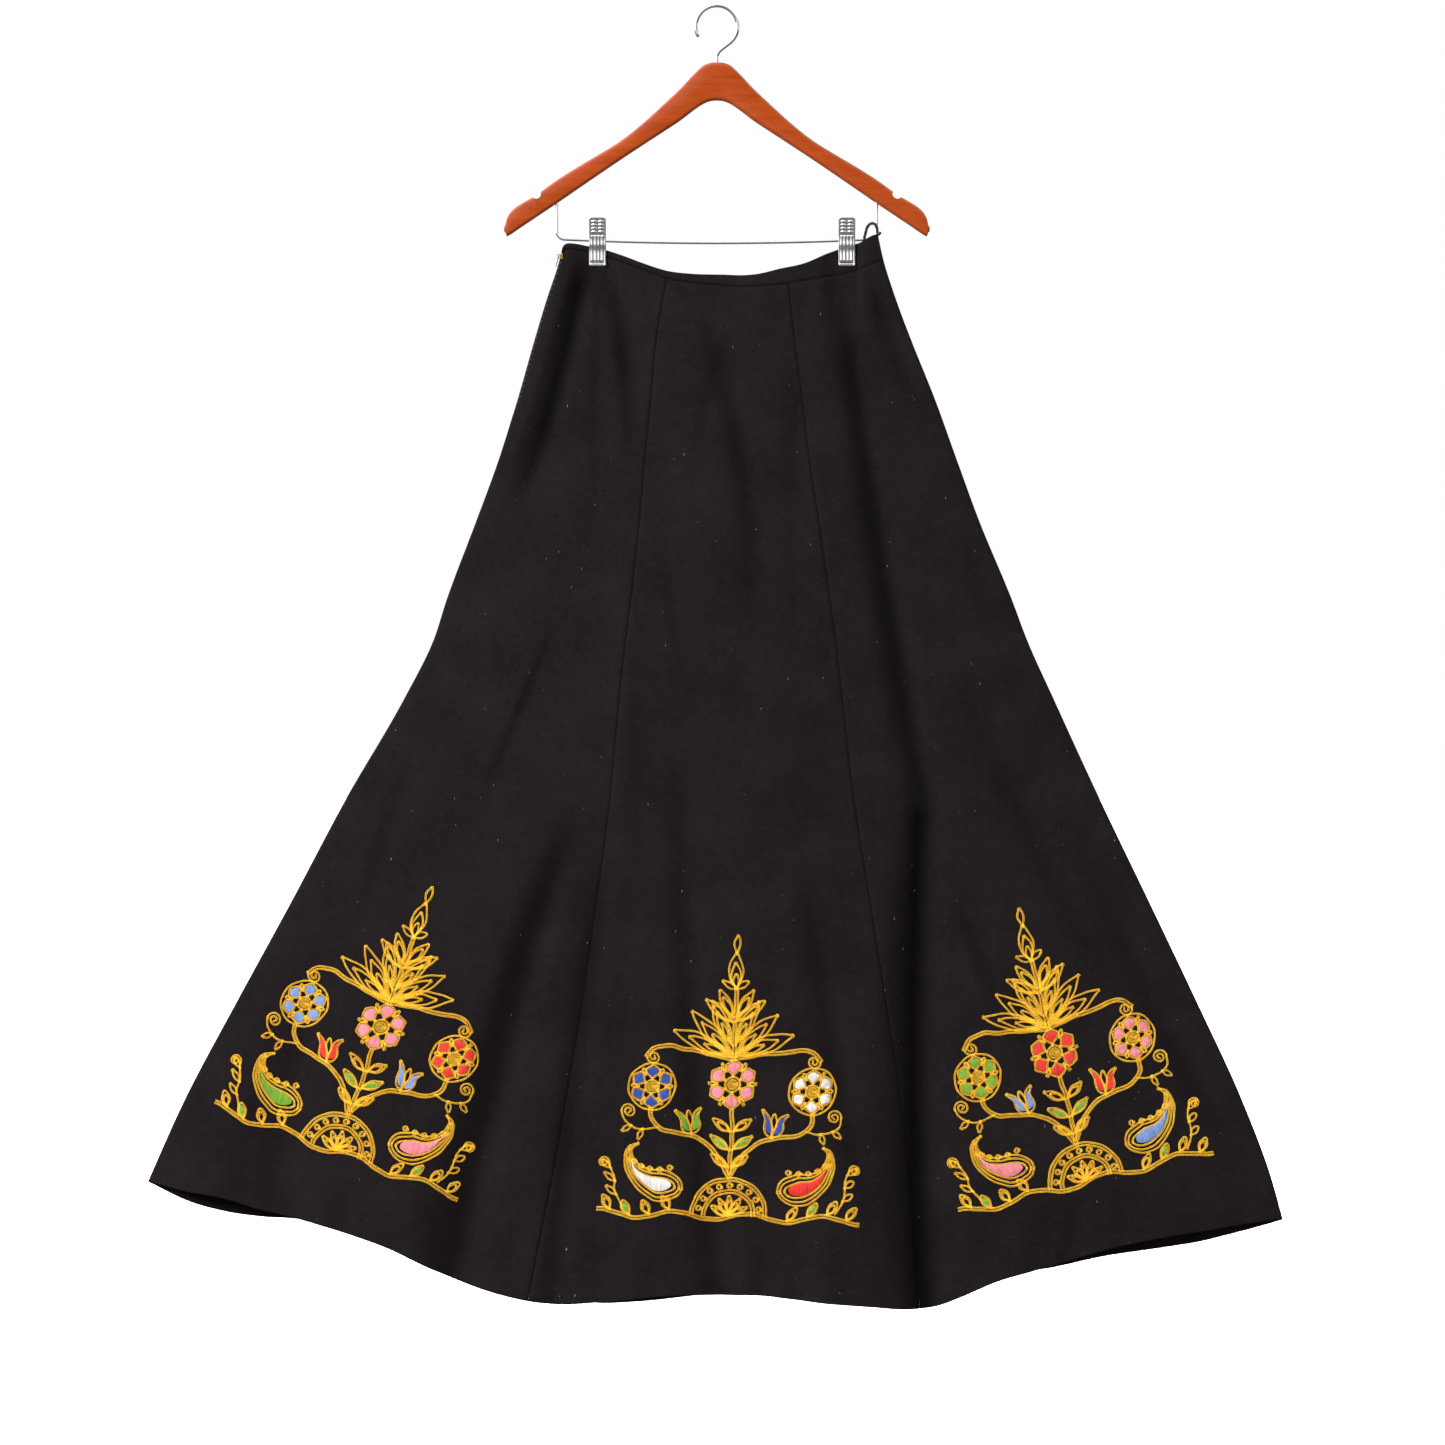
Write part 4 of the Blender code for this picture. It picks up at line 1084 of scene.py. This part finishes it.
def makeGoldThread():
    material, tree, shader = newFinish("goldThread", Roughness=0.42, Specular_IOR_Level=0.35, Sheen_Weight=0.1,
                                       Sheen_Roughness=0.4, Sheen_Tint=(1.0, 0.85, 0.55))
    shade = addNode(tree, "ShaderNodeAttribute", attribute_name="shade").outputs["Fac"]
    place = placeOf(tree)
    worn = noiseAt(tree, place, 24, 2)
    tone = addNode(tree, "ShaderNodeMath", {0: spread(tree, shade, 0, 1, (0, 0.6)),
                                            1: spread(tree, worn, 0.3, 0.7, (0, 0.4))}, operation="ADD")
    twistAndHighlight = noiseAt(tree, place, 0.45, 2, 0.6)
    base = blendColours(tree, tone.outputs[0], (0.86, 0.37, 0.008), (1.0, 0.64, 0.045))
    # painted highlight: where the twist noise is high, the gold is lightened towards pale yellow; the same noise gives
    # the twist's bump
    tree.links.new(blendColours(tree, spread(tree, twistAndHighlight, 0.6, 0.75, (0, 0.4)), base, (1.0, 0.80, 0.28)),
                   shader.inputs["Base Color"])
    addBump(tree, shader, twistAndHighlight, 0.5, 0.12)
    return material


def makeSatinThread():
    material, tree, shader = newFinish("dyedThread", Roughness=0.38, Specular_IOR_Level=0.5, Sheen_Weight=0.2,
                                       Sheen_Roughness=0.4)
    dye = addNode(tree, "ShaderNodeAttribute", attribute_name="dye").outputs["Color"]
    shade = addNode(tree, "ShaderNodeAttribute", attribute_name="shade").outputs["Fac"]
    value = addNode(tree, "ShaderNodeHueSaturation", {"Color": dye, "Value": spread(tree, shade, 0, 1, (0.72, 1.15))})
    tree.links.new(value.outputs[0], shader.inputs["Base Color"])
    addBump(tree, shader, noiseAt(tree, placeOf(tree), 0.4, 2, 0.6), 0.4, 0.1)
    return material


def layOn(look, lines, lift=0.0):
    # lines drawn on a spray's own place, laid on the cloth, and the way out of it
    points, outs = frontSkin(*onSpray(look, np.concatenate(lines)), lift=lift)
    ends = np.cumsum([len(line) for line in lines])[:-1]
    return np.split(points, ends), np.split(outs, ends)


def makeSprays():
    chain, thread = makeChainTree(), makeThreadTree()
    gold, satin = makeGoldThread(), makeSatinThread()
    for place, look in sprays.items():
        lines, fills = drawSpray(look)
        guide = lineMesh(f"{place}Lines", *layOn(look, lines))
        chained = grow(guide, chain, f"{place}SprayChain", Pitch=stitch["pitch"] * mm, Long=stitch["long"] * mm,
                       Wide=stitch["wide"] * mm, Yarn=stitch["yarn"] * mm, Lift=stitch["lift"] * mm,
                       Seed=stitch["seed"], Thread=gold)
        chance = np.random.default_rng(stitch["seed"])
        rows, lifts, shades, colours = [], [], [], []
        arch = np.array([0.2, 0.8, 1.0, 0.8, 0.2]) * stitch["satinLift"]
        for outline, dye, angle in fills:
            for low, high in satinRows(outline, angle):
                share = np.array([0, 0.18, 0.5, 0.82, 1])[:, None]
                rows.append(low + (high - low) * share + chance.normal(0, 0.12, (5, 2)))
                lifts.append(arch + 0.1 * chance.random())
                shades.append(chance.random())
                colours.append((*dyes[dye], 1.0))
        guide = lineMesh(f"{place}Threads", layOn(look, rows, np.concatenate(lifts))[0], shades=shades,
                         dyeList=colours)
        filled = grow(guide, thread, f"{place}SprayFill", Yarn=stitch["satinYarn"] * mm, Thread=satin)
        for piece in (chained, filled):
            settle(piece, "skirt")
        print(f"embroidery {place}: {len(chained.data.polygons)} and {len(filled.data.polygons)} faces")


# Zip and loop

sideZip = {
    "drops": (266.0, 425.0),
    "edge": 0.75,  # the chain's middle, in from the side seam
    "pitch": 1.35,
    "tooth": (0.78, 0.85, 0.44),  # half sizes
    "stagger": 0.36,
}
loop = {
    "path": [(154.9, 244.2), (156.6, 237.5), (158.2, 232.0), (160.6, 228.9), (163.6, 227.7),
             (166.4, 228.9), (168.2, 232.0), (168.9, 237.9)],
    "y": -6.0,
    "half": (1.5, 0.65),
    "threadEnd": [(167.6, 240.8), (169.6, 239.9), (171.2, 238.6), (172.0, 237.7)],
    "threadHalf": (1.35, 0.8),
}


def makeToothTree():
    tree, given, result = newTree("zipTeeth", {
        "Pitch": "NodeSocketFloat", "Size": "NodeSocketVector", "Stagger": "NodeSocketFloat",
        "Finish": "NodeSocketMaterial"})
    tooth = addNode(tree, "GeometryNodeMeshUVSphere", {"Segments": 8, "Rings": 6, "Radius": 1.0})
    tooth = addNode(tree, "GeometryNodeTransform", {"Geometry": tooth.outputs[0], "Scale": given["Size"]})
    line = addNode(tree, "GeometryNodeMeshToCurve", {"Mesh": given["Lines"]})
    line = addNode(tree, "GeometryNodeResampleCurve", {"Curve": line.outputs[0], "Length": given["Pitch"]},
                   mode="LENGTH")
    place = addNode(tree, "GeometryNodeInputIndex")
    odd = addNode(tree, "ShaderNodeMath", {0: place.outputs[0], 1: 2.0}, operation="MODULO")
    side = addNode(tree, "ShaderNodeMath", {0: odd.outputs[0], 1: 2.0, 2: -1.0}, operation="MULTIPLY_ADD")
    aside = addNode(tree, "ShaderNodeMath", {0: side.outputs[0], 1: given["Stagger"]}, operation="MULTIPLY")
    shift = addNode(tree, "ShaderNodeCombineXYZ", {"Y": aside.outputs[0]})
    line = addNode(tree, "GeometryNodeSetPosition", {"Geometry": line.outputs[0], "Offset": shift.outputs[0]})
    along = addNode(tree, "GeometryNodeInputTangent")
    turn = addNode(tree, "FunctionNodeAxesToRotation", {"Primary Axis": along.outputs[0],
                                                        "Secondary Axis": (0, 1, 0)},
                   primary_axis="Z", secondary_axis="Y")
    laid = addNode(tree, "GeometryNodeInstanceOnPoints", {
        "Points": line.outputs[0], "Instance": tooth.outputs[0], "Rotation": turn.outputs[0]})
    real = addNode(tree, "GeometryNodeRealizeInstances", {"Geometry": laid.outputs[0]})
    soft = addNode(tree, "GeometryNodeSetShadeSmooth", {"Geometry": real.outputs[0]})
    dressed = addNode(tree, "GeometryNodeSetMaterial", {"Geometry": soft.outputs[0], "Material": given["Finish"]})
    tree.links.new(dressed.outputs[0], result[0])
    return tree


def makeNylon():
    material, tree, shader = newFinish("blackNylon", Roughness=0.45, Specular_IOR_Level=0.45)
    worn = noiseAt(tree, placeOf(tree), 1.5, 2)
    tree.links.new(blendColours(tree, worn, (0.010, 0.009, 0.010), (0.034, 0.031, 0.032)),
                   shader.inputs["Base Color"])
    tree.links.new(spread(tree, worn, 0.3, 0.7, (0.35, 0.6)), shader.inputs["Roughness"])
    return material


def makeZip(tape, brass):
    drop = np.linspace(*sideZip["drops"], 60)
    x = seamX("leftSide", drop) + sideZip["edge"]
    guide = lineMesh("chainLine", [stacked(x, layers(x, drop)[0], drop)])
    teeth = grow(guide, makeToothTree(), "zipTeeth", Pitch=sideZip["pitch"] * mm, Stagger=sideZip["stagger"] * mm,
                 Size=[half * mm for half in sideZip["tooth"]], Finish=makeNylon())
    settle(teeth, "skirt", slot="zip_tape")
    for name, finish in (("zip_tape_front", tape), ("zip_tape_back", tape), ("zip_slider", brass),
                         ("zip_pull", brass)):
        bpy.data.objects[name].material_slots[0].material = finish


def makeLoop(tape):
    def rings(path, half, tips):
        p = np.array(path)
        flat = curveThrough(np.stack([p[:, 0], p[:, 1]], axis=1))
        return tubeRings(np.insert(flat, 1, loop["y"], axis=1), half, 12, tips)

    parts = joined(loftParts(rings(loop["path"], loop["half"], (0, 0))),
                   loftParts(rings(loop["threadEnd"], loop["threadHalf"], (0, 1.0))))
    settle(addMesh("hangingLoop", *parts, tape, 60), "skirt", "hanger_loop", slot="zip_tape")


# Hanger

hanger = {
    "arm": table("x topDrop lowDrop", [
        (0, 57.9, 97.8),
        (7, 58.4, 98.6),
        (14, 61.0, 101.4),
        (24, 70.0, 108.0),
        (38, 85.0, 118.7),
        (55, 101.0, 130.0),
        (75, 119.4, 143.0),
        (100.8, 140.1, 160.0),
        (124.7, 155.0, 176.2),
        (148, 168.8, 192.2),
        (168.8, 182.0, 206.5),
        (192, 198.5, 222.0),
        (205.7, 206.5, 231.2),
        (213, 211.5, 236.2),
        (218.4, 217.3, 239.6),
        (221.4, 223.6, 240.2),
        (222.8, 230.0, 236.5),
    ]),
    "halfDepth": 6.0,
    "corner": 4.0,
    "armEnd": 1.5,  # how far the ends round out
    "notch": {"x": 190.1, "drop": 196.6, "radius": 5.2},
    "holeFit": 0.3,
    "hookWire": 2.0,
    "hookInner": 20.0,
    "hookAngles": (205, -45),
    "shankDrops": (52.0, 76.0),
    "barWire": 1.5,
    "barX": 168.3,
    "barTop": 194.0,
    "barEnd": 244.1,
    "barCorner": 8.0,
    "barSag": 3.7,
}


def barDrop(x):
    return hanger["barEnd"] + hanger["barSag"] * (1 - (x / (hanger["barX"] - hanger["barCorner"])) ** 2)


def armRing(x, topDrop, lowDrop, size=1.0):
    half = (lowDrop - topDrop) / 2
    corner = min(hanger["corner"], 0.8 * half)
    turn = np.radians(np.arange(0, 91, 15))
    quarter = np.stack([hanger["halfDepth"] - corner + corner * np.cos(turn),
                        half - corner + corner * np.sin(turn)], axis=1) * size
    ring = np.concatenate([quarter, (quarter * (-1, 1))[::-1], -quarter, (quarter * (1, -1))[::-1]])
    return np.column_stack([np.full(len(ring), x), ring[:, 0], (topDrop + lowDrop) / 2 - ring[:, 1]])


def drillRings(x, y, drop, radius, sides=40):
    # two rings of a drill; of x, y and drop, the pair is its way
    turn = np.arange(sides) * 2 * np.pi / sides
    a, b = radius * np.cos(turn), radius * np.sin(turn)
    if isinstance(y, tuple):
        return np.array([np.stack([x + a, 0 * a + end, drop + b], axis=1) for end in y])
    return np.array([np.stack([x + a, y + b, 0 * a + end], axis=1) for end in drop])


def makeWood(finish):
    arm = hanger["arm"]
    x = np.unique(np.concatenate([np.linspace(low, high, 6) for low, high in zip(arm["x"], arm["x"][1:])]))
    rings = [armRing(at, smooth(at, arm["x"], arm["topDrop"]), smooth(at, arm["x"], arm["lowDrop"])) for at in x]
    last = (arm["topDrop"][-1], arm["lowDrop"][-1])
    rings += [armRing(x[-1] + hanger["armEnd"] * math.sin(a), *last, size=math.cos(a))
              for a in np.radians((20, 40, 60, 80))]
    rings = np.array(rings)
    whole = np.concatenate([rings[:0:-1] * (-1, 1, 1), rings])
    wood = addMesh("hangerArms", *loftParts(whole), finish, 40)
    notch, fit = hanger["notch"], hanger["holeFit"]
    tools = [drillRings(0, 0, (hanger["shankDrops"][0] - 10, hanger["shankDrops"][1] + fit), hanger["hookWire"] + fit)]
    for sign in (-1, 1):
        tools.append(drillRings(sign * notch["x"], (-12, 12), notch["drop"], notch["radius"], 64))
        tools.append(drillRings(sign * hanger["barX"], 0, (hanger["barTop"] - fit, hanger["barEnd"]),
                                hanger["barWire"] + fit))
    cutAway(wood, [addMesh(f"drill{i}", *loftParts(tool), finish, 40) for i, tool in enumerate(tools)], 35)
    settle(wood, "skirt", "hanger_wood", slot="lacquered_wood")


def makeWires(chrome):
    bend = hanger["hookInner"] + hanger["hookWire"]
    turn = np.radians(np.linspace(*hanger["hookAngles"], 61))
    arc = np.stack([bend * np.cos(turn), 0 * turn, hanger["hookInner"] - bend * np.sin(turn)], axis=1)
    t = np.linspace(0, 1, 25)[1:, None]
    way = np.array([np.sin(turn[-1]), 0, np.cos(turn[-1])]) * 20
    shank = np.array([0, 0, hanger["shankDrops"][0]])
    sweep = ((2 * t**3 - 3 * t**2 + 1) * arc[-1] + (t**3 - 2 * t**2 + t) * way
             + (3 * t**2 - 2 * t**3) * shank + (t**3 - t**2) * np.array([0, 0, 20.0]))
    shankEnd = [(0, 0, drop) for drop in np.linspace(*hanger["shankDrops"], 6)[1:]]
    path = np.concatenate([arc, sweep, shankEnd])
    wire = (hanger["hookWire"],) * 2
    hook = addMesh("hangerHook", *loftParts(tubeRings(path, wire, 24, (hanger["hookWire"], 0))), chrome, 50)
    settle(hook, "skirt", "hanger_hook", slot="chrome")

    turn = np.radians(np.linspace(0, 90, 13))
    span, low = hanger["barX"] - hanger["barCorner"], hanger["barEnd"] - hanger["barCorner"]
    corner = np.stack([span + hanger["barCorner"] * np.cos(turn), low + hanger["barCorner"] * np.sin(turn)], axis=1)
    upright = [(hanger["barX"], drop) for drop in np.linspace(hanger["barTop"], low, 8)[:-1]]
    along = [(x, barDrop(x)) for x in np.linspace(span, 0, 40)[1:]]
    half = np.concatenate([upright, corner, along])
    path = np.insert(np.concatenate([half * (-1, 1), half[-2::-1]]), 1, 0, axis=1)
    wire = (hanger["barWire"],) * 2
    bar = addMesh("hangerBar", *loftParts(tubeRings(path, wire, 20)), chrome, 50)
    settle(bar, "skirt", "hanger_bar", slot="chrome")


# Clips

clip = {
    "width": 17.8,
    "plate": 1.2,
    "profile": table("y drop", [
        (-9.2, 222.0), (-8.2, 226.0), (-6.4, 233.0), (-4.7, 240.0), (-4.2, 245.5), (-4.0, 250.0), (-3.4, 256.0),
        (-3.15, 261.0), (-3.15, 270.5), (-3.4, 272.5)]),
    "mesh": (72, 110),
    "cornerRadius": 1.8,
    "edgeRound": 0.7,
    "domes": {"rows": (4.2, 7.85, 11.5, 15.15), "aside": 3.65, "half": (3.1, 1.5), "height": 0.95},
    "flutes": {"from": 18.4, "to": 46.6, "pitch": 3.6, "edge": 7.2, "height": 0.75},
    "lip": {"at": 49.6, "half": 1.2, "height": 0.7},
    "ear": 0.9,
    "earUp": 4.2,
    "earDown": 3.2,
    "earReach": 2.8,
    "bore": 2.05,
    "coilRadius": 2.6,
    "coilHalf": 5.7,
    "coilTurns": 9.5,
    "coilWire": 0.48,
}


def clipRelief(u, s):
    # how far the plate's face stands out, at u across it and s down it
    domes, flutes, lip = clip["domes"], clip["flutes"], clip["lip"]
    height = np.zeros_like(u)
    for row in domes["rows"]:
        far = ((np.abs(u) - domes["aside"]) / domes["half"][0]) ** 2 + ((s - row) / domes["half"][1]) ** 2
        height = height + domes["height"] * np.sqrt(np.clip(1 - far, 0, 1))
    ridges = np.abs(np.sin(np.pi * u / flutes["pitch"])) ** 0.6 * (np.abs(u) < flutes["edge"])
    run = ease(s, flutes["from"], flutes["from"] + 1.2) * (1 - ease(s, flutes["to"] - 1.6, flutes["to"]))
    height = height + flutes["height"] * ridges * run
    height = height + 0.35 * ease(np.abs(u), flutes["edge"] - 0.2, flutes["edge"] + 0.3)
    height = height + lip["height"] * np.sqrt(np.clip(1 - ((s - lip["at"]) / lip["half"]) ** 2, 0, 1))
    inward = np.clip((clip["width"] / 2 - np.abs(u)) / clip["edgeRound"], 0, 1)
    return height - (clip["plate"] * 0.55) * (1 - np.sqrt(1 - (1 - inward) ** 2))


def plateParts(middle, sign):
    profile = clip["profile"]
    along = np.concatenate([[0], np.cumsum(np.hypot(np.diff(profile["y"]), np.diff(profile["drop"])))])
    s = np.linspace(0, along[-1], clip["mesh"][1] + 1)
    y, drop = smooth(s, along, profile["y"]), smooth(s, along, profile["drop"])
    slope = np.stack([np.gradient(y, s), np.gradient(drop, s)], axis=1)
    slope /= np.linalg.norm(slope, axis=1)[:, None]
    radius = clip["cornerRadius"]
    trim = radius - np.sqrt(radius**2 - np.clip(radius - s, 0, radius) ** 2)
    share = np.linspace(-1, 1, clip["mesh"][0] + 1)[:, None]
    u = share * (clip["width"] / 2 - trim)
    relief = clipRelief(share * clip["width"] / 2, s + 0 * u)
    walls = []
    for away in (clip["plate"] / 2 + relief, 0 * relief - clip["plate"] / 2):
        walls.append(stacked(middle + u, sign * (y - away * slope[:, 1]), drop + away * slope[:, 0]))
    return wallParts(*walls)


def earParts(middle, end, inset, sign, axle):
    # an ear with a round hole for the bar, bent back from the plate's edge
    turn = np.arange(48) * 2 * np.pi / 48
    way = np.stack([np.cos(turn), np.sin(turn)], axis=1)
    front, back = (4.2, clip["earReach"]) if sign > 0 else (clip["earReach"], 4.2)
    reach = np.where(way > 0, (back, clip["earDown"]), (front, clip["earUp"]))
    size = ((np.abs(way) / reach) ** 5).sum(axis=1) ** -0.2
    outside = clip["width"] / 2 - inset
    rings = []
    for deep, edge in ((0, None), (0, 0.25), (0.25, 0), (clip["ear"] - 0.25, 0), (clip["ear"], 0.25),
                       (clip["ear"], None)):
        far = clip["bore"] if edge is None else size - edge
        at = way * np.reshape(far, (-1, 1))
        rings.append(np.column_stack([np.full(48, middle + end * (outside - deep)), at[:, 0], axle + at[:, 1]]))
    return roundParts(np.array(rings))


def springRings(middle, axle):
    # a leg down the front plate, the coil about the bar, and a leg up the back plate
    turns = clip["coilTurns"]
    t = np.linspace(0, 1, int(turns * 18))
    angle = np.pi + 2 * np.pi * turns * t
    coil = np.stack([middle + clip["coilHalf"] * (2 * t - 1), clip["coilRadius"] * np.cos(angle),
                     axle - clip["coilRadius"] * np.sin(angle)], axis=1)
    share = np.linspace(1, 0, 9)[:-1, None]
    frontLeg = coil[0] + share * np.array([0, -1.9, -12.5])
    backLeg = coil[-1] + share[::-1] * np.array([0, 1.9, -12.5])
    return tubeRings(np.concatenate([frontLeg, coil, backLeg]), (clip["coilWire"],) * 2, 8, (0.4, 0.4))


def makeClips(chrome):
    for place, middle in cloth["clipX"].items():
        axle = barDrop(middle)
        for face, sign, inset in (("front", 1, 0.0), ("back", -1, clip["ear"] + 0.3)):
            ears = [earParts(middle, end, inset, sign, axle) for end in (-1, 1)]
            plate = addMesh(f"clip{place.title()}{face.title()}", *joined(plateParts(middle, sign), *ears), chrome, 50)
            settle(plate, "skirt", f"clip_{place}_{face}", slot="chrome")
        spring = addMesh(f"clip{place.title()}Spring", *loftParts(springRings(middle, axle)), chrome, 60)
        settle(spring, "skirt", f"clip_{place}_spring", slot="chrome")


print("cloth panels")
wool = makeWool()
makeWaistband(wool)
makeGores(wool)
print("embroidery")
makeSprays()
print("zip and loop")
tape = makeTape()
makeZip(tape, makeBrass())
makeLoop(tape)
print("hanger and clips")
chrome = makeChrome()
makeWood(makeLacquer())
makeWires(chrome)
makeClips(chrome)

# Camera and light

view = {"x": 6.0, "drop": 752.7, "away": 6000.0, "lens": 142.0}
light = {
    "world": (0.95, 0.22),
    "turn": (-0.08, 0.16),
    "top": 0.4,
    "screen": 2.0,
    "dark": 0.03,
    "leftScreen": (-0.14, -0.02),
    "rightScreen": (0.5, 0.6),
    "aim": (0, 0, -0.75),
    "lamps": {"key": (800, 1.8, (-4.4, -3.4, 1.7)), "fill": (150, 2.5, (3.4, -3.6, 0.4)),
              "back": (640, 1.8, (3.6, 4.2, 1.7))},  # power, size and place
}


def makeView():
    data = bpy.data.cameras.new("camera")
    data.lens = view["lens"]
    data.sensor_width = 36
    camera = bpy.data.objects.new("camera", data)
    camera.location = (view["x"] * mm, -view["away"] * mm, -view["drop"] * mm)
    camera.rotation_euler = (math.radians(90), 0, 0)
    bpy.context.collection.objects.link(camera)
    bpy.context.scene.camera = camera


def makeLight():
    for name, (power, size, place) in light["lamps"].items():
        data = bpy.data.lights.new(name, "AREA")
        data.energy = power
        data.size = size
        lamp = bpy.data.objects.new(name, data)
        lamp.location = place
        lamp.visible_glossy = False
        lamp.rotation_euler = (Vector(light["aim"]) - lamp.location).to_track_quat("-Z", "Y").to_euler()
        bpy.context.collection.objects.link(lamp)

    world = bpy.data.worlds.new("studio")
    bpy.context.scene.world = world
    world.use_nodes = True
    tree = world.node_tree
    seen = tree.nodes["Background"]
    seen.inputs["Color"].default_value = (1, 1, 1, 1)
    seen.inputs["Strength"].default_value = 1.0
    way = addNode(tree, "ShaderNodeSeparateXYZ", {0: addNode(tree, "ShaderNodeTexCoord").outputs["Generated"]})
    # bright studio on the left and above, dark on the right
    level = addNode(tree, "ShaderNodeMath", {
        0: spread(tree, way.outputs["X"], *light["turn"], light["world"]),
        1: spread(tree, way.outputs["Z"], 0.35, 0.8, (0, light["top"]))}, operation="ADD")
    # what shiny metal mirrors: two bright screens and a top light with dark between them
    left = spread(tree, way.outputs["X"], *light["leftScreen"], (light["screen"], 0.0))
    right = spread(tree, way.outputs["X"], *light["rightScreen"], (0.0, 0.5 * light["screen"]))
    above = spread(tree, way.outputs["Z"], 0.3, 0.6, (light["dark"], 0.7 * light["screen"]))
    sides = addNode(tree, "ShaderNodeMath", {0: left, 1: right}, operation="ADD")
    mirrored = addNode(tree, "ShaderNodeMath", {0: sides.outputs[0], 1: above}, operation="ADD")
    path = addNode(tree, "ShaderNodeLightPath")
    shown = addNode(tree, "ShaderNodeMix", {0: path.outputs["Is Glossy Ray"], 2: level.outputs[0],
                                            3: mirrored.outputs[0]}, data_type="FLOAT")
    lit = addNode(tree, "ShaderNodeBackground", {"Color": (1, 1, 1, 1), "Strength": shown.outputs[0]})
    choose = addNode(tree, "ShaderNodeMixShader", {0: path.outputs["Is Camera Ray"], 1: lit.outputs[0],
                                                   2: seen.outputs[0]})
    tree.links.new(choose.outputs[0], tree.nodes["World Output"].inputs["Surface"])
    bpy.context.scene.view_settings.view_transform = "Standard"


def makeFloor():
    floorDrop, reach = 1620.0, 60.0
    points = [(reach * math.cos(a), reach * math.sin(a), -floorDrop * mm)
              for a in np.radians(np.arange(0, 360, 10))]
    material, tree, shader = newFinish("paleFloor", Base_Color=(0.9, 0.9, 0.9), Roughness=0.9,
                                       Emission_Color=(1, 1, 1))
    seen = addNode(tree, "ShaderNodeLightPath").outputs["Is Camera Ray"]
    # the metal mirrors a darker floor than the camera sees, so that it doesn't vanish into white
    tree.links.new(spread(tree, seen, 0, 1, (0.03, 0.78)), shader.inputs["Emission Strength"])
    tree.links.new(spread(tree, seen, 0, 1, (0.06, 0.90)), shader.inputs["Base Color"])
    floor = addMesh("floor", points, [tuple(range(len(points)))], material)


makeView()
makeLight()
makeFloor()
